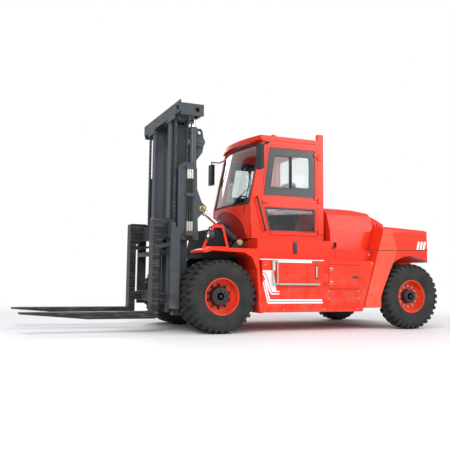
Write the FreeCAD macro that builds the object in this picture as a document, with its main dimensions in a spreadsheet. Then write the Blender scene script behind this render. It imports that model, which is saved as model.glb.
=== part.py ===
import FreeCAD, Part
import math
import os
import re

import Sketcher

os.makedirs("parts", exist_ok=True)
doc = FreeCAD.newDocument("forklift")
V = FreeCAD.Vector

# Driving sizes in millimetres. X points to the fork tips and Y to the left side, both counted
# from the drive axle's middle here; axle_x shifts the whole truck so that the middle of its
# footprint is at the origin. Z is height over the floor.
SIZES = [
    ("wheelbase", 3330, "drive axle to steer axle"),
    ("overhang", 620, "steer axle to the counterweight's rear face"),
    ("rear_reach", "wheelbase + overhang", "drive axle to the counterweight's rear face"),
    ("fork_tip", 2700, "drive axle to the fork tips"),
    ("axle_x", "(rear_reach - fork_tip) / 2", "the footprint's middle behind the drive axle"),
    ("tyre_r", 522, "tyre radius over the lugs"),
    ("tyre_w", 278, "tyre section width"),
    ("lug_depth", 22, "height of a tread lug"),
    ("rim_r", 262, "radius of the rim well in the tyre's hole"),
    ("rim_lip", 298, "radius of the rim's flange"),
    ("seat_gap", 0.3, "gap between a tyre's bead and its rim"),
    ("twin_gap", 52, "gap between the two tyres of a drive wheel"),
    ("drive_out", 1180, "outer wall of the outer drive tyre from the centre plane"),
    ("steer_out", 1170, "outer wall of a steered tyre from the centre plane"),
    ("hub_r", 95, "radius of a wheel hub"),
    ("axle_tube", 115, "radius of the drive axle's tubes"),
    ("running", 0.05, "radial gap of a shaft in its bore"),
    ("play", 8, "gap between pieces that slide or turn past each other"),
    ("frame_half", 420, "outer face of a chassis side plate from the centre plane"),
    ("frame_plate", 30, "thickness of a chassis side plate"),
    ("frame_low", 330, "underside of the chassis side plates"),
    ("frame_top", 1080, "top of the chassis side plates"),
    ("pivot_x", 200, "mast pivot ahead of the drive axle"),
    ("pivot_z", 480, "height of the mast pivot"),
    ("pivot_pin", 40, "radius of the mast pivot pins"),
    ("rail_back", 330, "rear face of the outer uprights"),
    ("rail_deep", 200, "depth of an outer upright"),
    ("rail_out", 556, "outer face of an outer upright"),
    ("rail_web", 36, "web thickness of an outer upright"),
    ("rail_flange", 30, "flange thickness of both uprights"),
    ("rail_wide", 130, "flange width of an outer upright"),
    ("rail_foot", 230, "underside of the outer uprights"),
    ("inner_front", 590, "front face of the inner uprights"),
    ("inner_foot", 270, "underside of the inner uprights"),
    ("inner_web", 385, "inner face of an inner upright's web"),
    ("inner_thick", 30, "web thickness of an inner upright"),
    ("inner_lip", 345, "inner edge of an inner upright's flanges"),
    ("inner_wide", 130, "width of an inner upright's front flange"),
    ("head_top", 3360, "top of the crosshead plate"),
    ("head_deep", 170, "height of the crosshead plate"),
    ("head_low", "head_top - head_deep", "underside of the crosshead plate"),
    ("head_gap", 280, "outer uprights end this far below the crosshead's top"),
    ("outer_top", "head_top - head_gap", "top of the outer uprights"),
    ("head_half", 940, "half length of the crosshead"),
    ("head_plate", 16, "thickness of the crosshead plate"),
    ("wing_out", 745, "outer face of the mast's side plates"),
    ("wing_thick", 16, "thickness of the mast's side plates"),
    ("wing_low", 1330, "underside of the mast's side plates"),
    ("cyl_y", 655, "lift cylinders and chains from the centre plane"),
    ("cyl_x", 300, "lift cylinder axis ahead of the drive axle"),
    ("cyl_r", 58, "radius of a lift cylinder's barrel"),
    ("rod_r", 36, "radius of a lift cylinder's rod"),
    ("sheave_r", 76, "radius of a chain sheave's groove"),
    ("chain_wide", 90, "width of a lift chain"),
    ("chain_deep", 26, "depth of a lift chain"),
    ("sheave_drop", 172, "sheave pins below the crosshead's top"),
    ("lift_z", "head_top - sheave_drop", "height of the sheave pins"),
    ("carr_front", 695, "front face of the carriage bars"),
    ("carr_deep", 70, "depth of the carriage bars"),
    ("carr_half", 890, "half width of the carriage"),
    ("carr_low", 345, "underside of the carriage"),
    ("carr_top", 1570, "top of the carriage bars"),
    ("carr_end_top", 1505, "top of the carriage's end plates"),
    ("bar_high", 215, "height of the upper carriage bar"),
    ("bar_low", 150, "height of the lower carriage bar"),
    ("fork_y", 640, "fork centre line from the centre plane"),
    ("fork_w", 200, "fork width"),
    ("fork_t", 100, "fork thickness at the heel"),
    ("fork_front", 912, "front face of the fork shanks"),
    ("fork_top", 1635, "top of the fork shanks"),
    ("blade_top", 300, "upper face of the fork blades"),
    ("blade_tip", 20, "fork thickness at the tip"),
    ("tilt_y", 655, "tilt cylinders from the centre plane"),
    ("tilt_mx", 165, "mast end pin of a tilt cylinder ahead of the drive axle"),
    ("tilt_mz", 1800, "height of that pin"),
    ("tilt_bx", -455, "chassis end pin of a tilt cylinder"),
    ("tilt_bz", 1320, "height of that pin"),
    ("tilt_r", 62, "radius of a tilt cylinder's barrel"),
    ("tilt_rod", 30, "radius of a tilt cylinder's rod"),
    ("tilt_pin", 25, "radius of a tilt cylinder's pins"),
    ("cab_half", 750, "outer face of the cab's sides"),
    ("cab_front", -620, "front of the cab's side frames at the waist"),
    ("cab_top_front", -830, "front of the roof posts at the top"),
    ("cab_rear", -1925, "rear face of the cab"),
    ("cab_low", 1390, "underside of the cab"),
    ("cab_waist", 1920, "lower edge of the windshield"),
    ("cab_eave", 2940, "top of the cab's side frames"),
    ("roof_top", 3010, "top of the roof panel"),
    ("post", 62, "section of the cab's posts"),
    ("panel", 30, "thickness of the cab's walls and doors"),
    ("glass_t", 6, "thickness of the window glass"),
    ("door_gap", 6, "gap round the door"),
    ("fender_out", 1172, "outer edge of the front fenders"),
    ("fender_in", 610, "inner edge of the front fenders"),
    ("fender_top", 1212, "top of the front fenders"),
    ("fender_low", 285, "lower end of the front fenders"),
    ("fender_tip", 310, "front tip of the front fenders"),
    ("fender_rear", -545, "rear inner corner of the front fenders"),
    ("box_out", 1105, "outer face of the side boxes"),
    ("box_top", 1075, "top ledge of the side boxes"),
    ("box_low", 290, "underside of the side boxes"),
    ("box_front", -640, "front face of the side boxes"),
    ("box_gap_top", 690, "rear face of the side boxes ahead of the steer axle at the top"),
    ("box_gap_low", 930, "rear face of the side boxes ahead of the steer axle at the bottom"),
    ("box_rear_top", "-wheelbase + box_gap_top", "rear face of the side boxes at the top"),
    ("box_rear_low", "-wheelbase + box_gap_low", "rear face of the side boxes at the bottom"),
    ("step_rear", "(box_front + box_rear_low) / 2 - 80", "rear end of the step below the door"),
    ("hatch_gap", 190, "from the step to the hatch behind it"),
    ("hatch_front", "step_rear - hatch_gap", "front edge of the hatch"),
    ("hatch_rear", "box_rear_low + 70", "rear edge of the hatch"),
    ("waist_out", 960, "outer face of the panels over the side boxes"),
    ("waist_top", 1375, "top of the panels over the side boxes"),
    ("hood_front", -1985, "front edge of the hood"),
    ("hood_top", 1960, "top of the hood at its front"),
    ("hood_low", 1262, "lower edge of the hood's sides"),
    ("hood_half", 860, "half width of the hood at its lower edge"),
    ("hood_skin", 26, "thickness of the hood"),
    ("cw_half", 1120, "half width of the counterweight"),
    ("cw_low", 345, "underside of the counterweight"),
    ("cw_top", 1640, "top of the counterweight"),
    ("cw_ahead", 500, "front of the counterweight's top ahead of the steer axle"),
    ("toe_ahead", 910, "front of the counterweight's bottom ahead of the steer axle"),
    ("cw_front", "-wheelbase + cw_ahead", "front of the counterweight at its top"),
    ("cw_toe", "-wheelbase + toe_ahead", "front of the counterweight at its bottom"),
    ("cw_bevel", 60, "bevel along the counterweight's upper edges"),
    ("arch_r", 640, "radius of the steered wheels' arches"),
    ("sweep_r", 630, "room for a steered wheel, behind the edge of its arch"),
    ("arch_in", 400, "inner wall of the steered wheels' arches"),
    ("king_y", 850, "kingpin from the centre plane"),
    ("king_r", 30, "kingpin radius"),
]

sheet = doc.addObject("Spreadsheet::Sheet", "P")
for row, (alias, value, note) in enumerate(SIZES, 1):
    sheet.set("A%d" % row, alias)
    sheet.set("B%d" % row, "=" + value if isinstance(value, str) else str(value))
    sheet.setAlias("B%d" % row, alias)
    sheet.set("C%d" % row, note)
doc.recompute()

WORDS = {alias for alias, value, note in SIZES}


def ex(text):
    """A size written with the sheet's words becomes an expression on the sheet."""
    return re.sub(r"[a-z_]+", lambda m: "P." + m.group(0) if m.group(0) in WORDS else m.group(0), str(text))


def num(text):
    """The present value of such a size."""
    names = {alias: float(sheet.get(alias)) for alias in WORDS if alias in str(text)}
    total = str(text)
    for alias in sorted(names, key=len, reverse=True):
        total = re.sub(r"\b%s\b" % alias, "(%r)" % names[alias], total)
    return float(FreeCAD.Units.Quantity(total).Value)


def neg(text):
    return "-(%s)" % text


def place(obj, x, y, z):
    """Binds an object's corner or centre, counted from the drive axle."""
    obj.setExpression(".Placement.Base.x", ex("axle_x + (%s)" % x))
    obj.setExpression(".Placement.Base.y", ex(y))
    obj.setExpression(".Placement.Base.z", ex(z))
    return obj


def box(name, x, y, z):
    """A box between pairs of sizes along each axis."""
    obj = doc.addObject("Part::Box", name)
    for key, pair in (("Length", x), ("Width", y), ("Height", z)):
        obj.setExpression(key, ex("(%s) - (%s)" % (pair[1], pair[0])))
    return place(obj, x[0], y[0], z[0])


TURN = {
    "x": FreeCAD.Rotation(V(0, 1, 0), 90),
    "y": FreeCAD.Rotation(V(1, 0, 0), -90),
    "z": FreeCAD.Rotation(),
}


def rod(name, axis, r, start, end, u, v):
    """A round bar along an axis from start to end, with its centre at u and v on the other two."""
    obj = doc.addObject("Part::Cylinder", name)
    obj.Placement = FreeCAD.Placement(V(), TURN[axis])
    obj.setExpression("Radius", ex(r))
    obj.setExpression("Height", ex("(%s) - (%s)" % (end, start)))
    spot = {"x": (start, u, v), "y": (u, start, v), "z": (u, v, start)}[axis]
    return place(obj, *spot)


def sided(side, low, high):
    """A range of Y on the left side, or its mirror image on the right side."""
    return (low, high) if side > 0 else (neg(high), neg(low))


def fuse(name, pieces):
    obj = doc.addObject("Part::MultiFuse", name)
    obj.Shapes = pieces
    return obj


def cut(name, base, tools):
    obj = doc.addObject("Part::Cut", name)
    obj.Base = base
    obj.Tool = tools[0] if len(tools) == 1 else fuse(name + "_tools", tools)
    return obj


PLANES = {"xz": "XZ_Plane", "xy": "XY_Plane", "yz": "YZ_Plane"}


def sketch_on(body, name, plane, offset):
    sk = body.newObject("Sketcher::SketchObject", name)
    plane_obj = [o for o in body.Origin.OriginFeatures if o.Role == PLANES[plane]][0]
    sk.AttachmentSupport = [(plane_obj, "")]
    sk.MapMode = "FlatFace"
    sk.setExpression(".AttachmentOffset.Base.z", ex(offset))
    return sk


def polygon(sk, points):
    """A closed outline whose corners are held at sizes on the sheet."""
    count = len(points)
    spots = [(num(a), num(b)) for a, b in points]
    for i in range(count):
        a = spots[i]
        b = spots[(i + 1) % count]
        sk.addGeometry(Part.LineSegment(V(a[0], a[1], 0), V(b[0], b[1], 0)), False)
    for i in range(count):
        sk.addConstraint(Sketcher.Constraint("Coincident", i, 2, (i + 1) % count, 1))
    for i, (a, b) in enumerate(points):
        for kind, size, now in (("DistanceX", a, spots[i][0]), ("DistanceY", b, spots[i][1])):
            if abs(now) < 1e-6:
                axis = -2 if kind == "DistanceX" else -1
                sk.addConstraint(Sketcher.Constraint("PointOnObject", i, 1, axis))
                continue
            index = sk.addConstraint(Sketcher.Constraint(kind, -1, 1, i, 1, now))
            sk.setExpression("Constraints[%d]" % index, ex(size))


def slab(name, plane, points, low, high):
    """A plate with a drawn outline, between two sizes across its plane."""
    body = doc.addObject("PartDesign::Body", name)
    offset = neg(high) if plane == "xz" else low
    sk = sketch_on(body, name + "_outline", plane, offset)
    polygon(sk, points)
    pad = body.newObject("PartDesign::Pad", name + "_pad")
    pad.Profile = sk
    pad.setExpression("Length", ex("(%s) - (%s)" % (high, low)))
    body.Tip = pad
    body.setExpression(".Placement.Base.x", ex("axle_x"))
    return body


def turned(name, points, x, y, z, axis="y"):
    """A body of revolution about an axis along Y: points are (along the axis, radius)."""
    body = doc.addObject("PartDesign::Body", name)
    sk = sketch_on(body, name + "_outline", "xy", "0")
    polygon(sk, points)
    rev = body.newObject("PartDesign::Revolution", name + "_turn")
    rev.Profile = sk
    rev.ReferenceAxis = (sk, ["H_Axis"])
    rev.Angle = 360
    body.Tip = rev
    spin = {"y": FreeCAD.Rotation(V(0, 0, 1), 90), "x": FreeCAD.Rotation(),
            "z": FreeCAD.Rotation(V(0, 1, 0), -90)}[axis]
    body.Placement = FreeCAD.Placement(V(), spin)
    return place(body, x, y, z)


nodes = []


def node(obj, label):
    obj.Label = label
    nodes.append(obj)
    return obj


# Wheels. Each tyre is a turned casing with a ring of lateral lugs; its bead seats on the rim.
LUGS = 30


def tyre(name, x, mid, side):
    """One tyre round the axle at x, centred on mid, both sides alike."""
    half = "tyre_w / 2"
    casing = turned(name + "_casing", [
        ("-(%s) + 26" % half, "rim_lip - 8"),
        ("-(%s)" % half, "rim_lip + 62"),
        ("-(%s) + 6" % half, "tyre_r - 74"),
        ("-(%s) + 34" % half, "tyre_r - lug_depth"),
        ("%s - 34" % half, "tyre_r - lug_depth"),
        ("%s - 6" % half, "tyre_r - 74"),
        (half, "rim_lip + 62"),
        ("%s - 26" % half, "rim_lip - 8"),
        ("%s - 34" % half, "rim_r + seat_gap"),
        ("-(%s) + 34" % half, "rim_r + seat_gap"),
    ], x, mid, "tyre_r")
    body = doc.addObject("PartDesign::Body", name + "_lugs")
    sk = sketch_on(body, name + "_cog", "xz", "-(tyre_w / 2 - 8)")
    r_out = num("tyre_r")
    r_in = num("tyre_r - lug_depth - 12")
    corners = []
    for k in range(LUGS):
        a = 2 * math.pi * k / LUGS
        for part, r in ((-0.27, r_in), (-0.24, r_out), (0.24, r_out), (0.27, r_in)):
            b = a + part * 2 * math.pi / LUGS
            corners.append((r * math.cos(b), r * math.sin(b)))
    count = len(corners)
    for i in range(count):
        p = corners[i]
        q = corners[(i + 1) % count]
        sk.addGeometry(Part.LineSegment(V(p[0], p[1], 0), V(q[0], q[1], 0)), False)
    pad = body.newObject("PartDesign::Pad", name + "_lug_pad")
    pad.Profile = sk
    pad.setExpression("Length", ex("tyre_w - 16"))
    body.Tip = pad
    place(body, x, mid, "tyre_r")
    hole = rod(name + "_hole", "y", "tyre_r - lug_depth - 6", "%s - tyre_w" % mid, "%s + tyre_w" % mid, x, "tyre_r")
    ring = cut(name + "_ring", body, [hole])
    return [casing, ring]


def rim(name, x, mid, side, dish):
    """The rim inside one tyre with its disc dished inwards by dish from the outer flange."""
    s = "1" if side > 0 else "-1"
    w = "(tyre_w / 2 - 34)"
    pts = [
        ("(%s) * (-1) * %s" % (s, w), "rim_r"),
        ("(%s) * (-1) * %s" % (s, w), "rim_r - 14"),
        ("(%s) * (%s - %s - 14)" % (s, w, dish), "rim_r - 14"),
        ("(%s) * (%s - %s - 14)" % (s, w, dish), "hub_r"),
        ("(%s) * (%s - %s)" % (s, w, dish), "hub_r"),
        ("(%s) * (%s - %s)" % (s, w, dish), "rim_r - 14"),
        ("(%s) * (%s + 4)" % (s, w), "rim_r - 14"),
        ("(%s) * (%s + 4)" % (s, w), "rim_r"),
    ]
    return turned(name, pts, x, mid, "tyre_r")


for side, tag in ((1, "left"), (-1, "right")):
    s = "" if side > 0 else "-"
    outer = "%s(drive_out - tyre_w / 2)" % s
    inner = "%s(drive_out - tyre_w * 1.5 - twin_gap)" % s
    tyres = tyre("tyre_out_" + tag, "0", outer, side) + tyre("tyre_in_" + tag, "0", inner, side)
    node(fuse("drive_tyres_" + tag, tyres), "drive_tyres_" + tag)
    rims = [rim("rim_out_" + tag, "0", outer, side, "150"), rim("rim_in_" + tag, "0", inner, -side, "60")]
    hub_low, hub_high = sided(side, "drive_out - tyre_w * 2 - twin_gap + 10", "drive_out - 96")
    hub = rod("drive_hub_" + tag, "y", "hub_r", hub_low, hub_high, "0", "tyre_r")
    node(fuse("drive_rims_" + tag, rims + [hub]), "drive_rims_" + tag)
    rear = "%s(steer_out - tyre_w / 2)" % s
    node(fuse("steer_tyre_" + tag, tyre("tyre_rear_" + tag, "-wheelbase", rear, side)), "steer_tyre_" + tag)
    rear_rim = rim("rim_rear_" + tag, "-wheelbase", rear, side, "120")
    low, high = sided(side, "steer_out - tyre_w + 34", "steer_out - 70")
    hub = rod("steer_hub_" + tag, "y", "hub_r", low, high, "-wheelbase", "tyre_r")
    node(fuse("steer_rim_" + tag, [rear_rim, hub]), "steer_rim_" + tag)

# Chassis: two side plates tied by cross members, with ears for the mast pivot.
CENTRE = ("-frame_half + frame_plate", "frame_half - frame_plate")
plates = []
for side, tag in ((1, "left"), (-1, "right")):
    low, high = sided(side, "frame_half - frame_plate", "frame_half")
    plates.append(slab("frame_plate_" + tag, "xz", [
        ("pivot_x + 75", "pivot_z - 80"),
        ("pivot_x + 75", "pivot_z + 80"),
        ("60", "frame_top - 120"),
        ("-40", "frame_top"),
        ("-wheelbase - 330", "frame_top"),
        ("-wheelbase - 330", "tyre_r + 160"),
        ("-wheelbase + 300", "tyre_r + 160"),
        ("-wheelbase + 420", "frame_low"),
        ("-60", "frame_low"),
    ], low, high))
    pin_low, pin_high = sided(side, "frame_half", "rail_out - 6")
    plates.append(rod("pivot_pin_" + tag, "y", "pivot_pin", pin_low, pin_high, "pivot_x", "pivot_z"))
members = [
    box("cross_front", ("-330", "-250"), CENTRE, ("frame_low + 60", "frame_top - 180")),
    box("cross_mid", ("-1500", "-1380"), CENTRE, ("frame_low + 20", "frame_low + 200")),
    box("cross_rear", ("-wheelbase + 570", "-wheelbase + 690"), CENTRE, ("frame_low + 20", "frame_low + 260")),
    box("cross_tail", ("-wheelbase - 120", "-wheelbase + 120"), CENTRE, ("tyre_r + 190", "tyre_r + 330")),
]
axle_hole = rod("frame_axle_hole", "y", "axle_tube + seat_gap", "-frame_half - 60", "frame_half + 60", "0", "tyre_r")
node(cut("chassis_frame", fuse("frame_all", plates + members), [axle_hole]), "chassis_frame")

# Drive axle: housing with its differential bowl and a stub in each hub.
tube_end = "drive_out - tyre_w * 2 - twin_gap + 2"
stub_end = "drive_out - tyre_w * 2 - twin_gap + 120"
bowl = doc.addObject("Part::Sphere", "axle_bowl")
bowl.setExpression("Radius", ex("axle_tube * 1.9"))
place(bowl, "-20", "0", "tyre_r")
node(fuse("drive_axle", [
    rod("axle_housing", "y", "axle_tube", neg(tube_end), tube_end, "0", "tyre_r"),
    rod("axle_stubs", "y", "60", neg(stub_end), stub_end, "0", "tyre_r"),
    bowl,
]), "drive_axle")
for tag, side in (("left", 1), ("right", -1)):
    found = [o for o in nodes if o.Label == "drive_rims_" + tag][0]
    nodes.remove(found)
    low, high = sided(side, "drive_out - tyre_w * 2 - twin_gap - 20", stub_end + " + 5")
    bore = rod("drive_bore_" + tag, "y", "60 + running", low, high, "0", "tyre_r")
    found.Label = "drive_rims_blank_" + tag
    node(cut("drive_rims_bored_" + tag, found, [bore]), "drive_rims_" + tag)

# Steer axle: a beam under the counterweight with a kingpin and knuckle at each end.
ears = []
for side, tag in ((1, "left"), (-1, "right")):
    for level, z0, z1 in (("up", "tyre_r + 92", "tyre_r + 132"), ("down", "tyre_r - 132", "tyre_r - 92")):
        low, high = sided(side, "king_y - 150", "king_y + 50")
        ears.append(box("ear_%s_%s" % (level, tag), ("-wheelbase - 55", "-wheelbase + 55"), (low, high), (z0, z1)))
    low, high = sided(side, "king_y - 150", "king_y - 84")
    ears.append(box("ear_web_" + tag, ("-wheelbase - 40", "-wheelbase + 40"), (low, high),
                    ("tyre_r - 132", "tyre_r + 132")))
    king_s = "king_y" if side > 0 else "-king_y"
    ears.append(rod("kingpin_" + tag, "z", "king_r", "tyre_r - 132", "tyre_r + 132", "-wheelbase", king_s))
beam = box("steer_beam", ("-wheelbase - 95", "-wheelbase + 95"), (neg("king_y - 150"), "king_y - 150"),
           ("tyre_r - 100", "tyre_r + 100"))
saddle = box("steer_saddle", ("-wheelbase - 95", "-wheelbase + 95"), ("-260", "260"),
             ("tyre_r + 100", "tyre_r + 190"))
node(fuse("steer_axle", [beam, saddle] + ears), "steer_axle")
for side, tag in ((1, "left"), (-1, "right")):
    king_s = "king_y" if side > 0 else "-king_y"
    block = rod("knuckle_block_" + tag, "z", "70", "tyre_r - 87", "tyre_r + 87", "-wheelbase", king_s)
    low, high = sided(side, "king_y", "steer_out - 165")
    spindle = rod("spindle_" + tag, "y", "45", low, high, "-wheelbase", "tyre_r")
    arm = box("steer_arm_" + tag, ("-wheelbase - 100", "-wheelbase - 50"), sided(side, "king_y - 18", "king_y + 18"),
              ("tyre_r - 20", "tyre_r + 20"))
    blank = fuse("knuckle_blank_" + tag, [block, spindle, arm])
    king_bore = rod("king_bore_" + tag, "z", "king_r + running", "tyre_r - 140", "tyre_r + 140", "-wheelbase", king_s)
    node(cut("knuckle_" + tag, blank, [king_bore]), "knuckle_" + tag)
    found = [o for o in nodes if o.Label == "steer_rim_" + tag][0]
    nodes.remove(found)
    found.Label = "steer_rim_blank_" + tag
    low, high = sided(side, "steer_out - tyre_w", "steer_out - 160")
    bore = rod("steer_bore_" + tag, "y", "45 + running", low, high, "-wheelbase", "tyre_r")
    node(cut("steer_rim_bored_" + tag, found, [bore]), "steer_rim_" + tag)

# Front fenders, flat on top and square behind, over the twin drive tyres; a lamp bracket on each.
wings = []
for side, tag in ((1, "left"), (-1, "right")):
    low, high = sided(side, "fender_in", "fender_out")
    wings.append(slab("fender_" + tag, "xz", [
        ("fender_tip", "fender_top - 70"),
        ("fender_tip - 20", "fender_top - 35"),
        ("fender_tip - 120", "fender_top"),
        ("fender_rear", "fender_top"),
        ("fender_rear - 90", "fender_low"),
        ("fender_rear - 35", "fender_low"),
        ("fender_rear + 15", "fender_top - 300"),
        ("fender_rear + 90", "fender_top - 130"),
        ("fender_rear + 210", "fender_top - 60"),
        ("fender_tip - 140", "fender_top - 40"),
        ("fender_tip - 40", "fender_top - 75"),
    ], low, high))
    low, high = sided(side, "fender_out - 240", "fender_out - 226")
    outline = slab("lamp_frame_" + tag, "xz", [
        ("250", "fender_top - 12"),
        ("70", "fender_top + 345"),
        ("-90", "fender_top + 345"),
        ("-190", "fender_top - 12"),
    ], low, high)
    window = slab("lamp_gap_" + tag, "xz", [
        ("196", "fender_top + 26"),
        ("50", "fender_top + 300"),
        ("-70", "fender_top + 300"),
        ("-142", "fender_top + 26"),
    ], "%s - 20" % low, "%s + 20" % high)
    wings.append(cut("lamp_bracket_" + tag, outline, [window]))
node(fuse("front_fenders", wings), "front_fenders")

# Front deck between the mast and the cab, with the tilt cylinders' ears.
deck = [
    box("deck_plate", ("-635", "-60"), ("-fender_in", "fender_in"), ("frame_top", "fender_top")),
]
for side, tag in ((1, "left"), (-1, "right")):
    for off, half in (("tilt_y - 62", "18"), ("tilt_y + 62", "18")):
        low, high = sided(side, "%s - %s" % (off, half), "%s + %s" % (off, half))
        deck.append(slab("tilt_ear_%s_%s" % (tag, "in" if "-" in off else "out"), "xz", [
            ("tilt_bx - 110", "fender_top"),
            ("tilt_bx - 55", "tilt_bz + 40"),
            ("tilt_bx + 45", "tilt_bz + 50"),
            ("tilt_bx + 150", "fender_top"),
        ], low, high))
    low, high = sided(side, "tilt_y - 84", "tilt_y + 84")
    deck.append(rod("tilt_rear_pin_" + tag, "y", "tilt_pin", low, high, "tilt_bx", "tilt_bz"))
    low, high = sided(side, "fender_in - 40", "tilt_y + 80")
    deck.append(box("tilt_base_" + tag, ("tilt_bx - 110", "tilt_bx + 150"), (low, high),
                    ("fender_top", "fender_top + 22")))

# Valve block behind the mast, seated on the deck's front edge.
deck.append(slab("valve_block", "xz", [
    ("-60", "frame_top + 4"),
    ("10", "frame_top + 4"),
    ("10", "frame_top + 140"),
    ("-60", "frame_top + 440"),
    ("-330", "frame_top + 480"),
    ("-400", "fender_top"),
    ("-60", "fender_top"),
], "-360", "360"))
node(fuse("front_deck", deck), "front_deck")

# Tilt cylinders: a barrel on a chassis pin and a rod whose eye stands round the mast's pin.
run_x = num("tilt_mx") - num("tilt_bx")
run_z = num("tilt_mz") - num("tilt_bz")
tilt_rest = math.hypot(run_x, run_z)
tilt_angle = math.degrees(math.atan2(run_z, run_x))
BARREL_LONG = 450
ROD_LONG = 480


def along(name, r, start, end, y):
    """A round bar on the line between a tilt cylinder's pins, from the chassis pin outwards."""
    obj = doc.addObject("Part::Cylinder", name)
    obj.setExpression("Radius", ex(r))
    obj.Height = end - start
    lean = FreeCAD.Rotation(V(0, 1, 0), 90 - tilt_angle)
    obj.Placement = FreeCAD.Placement(V(), lean)
    dx = start * run_x / tilt_rest
    dz = start * run_z / tilt_rest
    return place(obj, "tilt_bx + %.4f" % dx, y, "tilt_bz + %.4f" % dz)


for side, tag in ((1, "left"), (-1, "right")):
    mid = "tilt_y" if side > 0 else "-tilt_y"
    low, high = sided(side, "tilt_y - 40", "tilt_y + 40")
    eye = rod("tilt_tail_eye_" + tag, "y", "tilt_r - 8", low, high, "tilt_bx", "tilt_bz")
    shell = along("tilt_shell_" + tag, "tilt_r", 85, BARREL_LONG, mid)
    tail_neck = along("tilt_tail_neck_" + tag, "tilt_r - 24", 30, 90, mid)
    collar = along("tilt_collar_" + tag, "tilt_r + 8", BARREL_LONG - 46, BARREL_LONG, mid)
    bore = along("tilt_bore_" + tag, "tilt_rod + running", 76, BARREL_LONG + 20, mid)
    pin_hole = rod("tilt_tail_hole_" + tag, "y", "tilt_pin + running", neg("1200"), "1200", "tilt_bx", "tilt_bz")
    barrel = fuse("tilt_barrel_blank_" + tag, [eye, tail_neck, shell, collar])
    node(cut("tilt_barrel_" + tag, barrel, [bore, pin_hole]), "tilt_barrel_" + tag)
    bar = along("tilt_bar_" + tag, "tilt_rod", tilt_rest - ROD_LONG, tilt_rest - 50, mid)
    head = rod("tilt_head_" + tag, "y", "tilt_r", low, high, "tilt_mx", "tilt_mz")
    neck = along("tilt_neck_" + tag, "tilt_rod + 14", tilt_rest - 104, tilt_rest - 50, mid)
    head_hole = rod("tilt_head_hole_" + tag, "y", "tilt_r - 19", neg("1200"), "1200", "tilt_mx", "tilt_mz")
    node(cut("tilt_rod_" + tag, fuse("tilt_rod_blank_" + tag, [bar, head, neck]), [head_hole]), "tilt_rod_" + tag)

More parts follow.
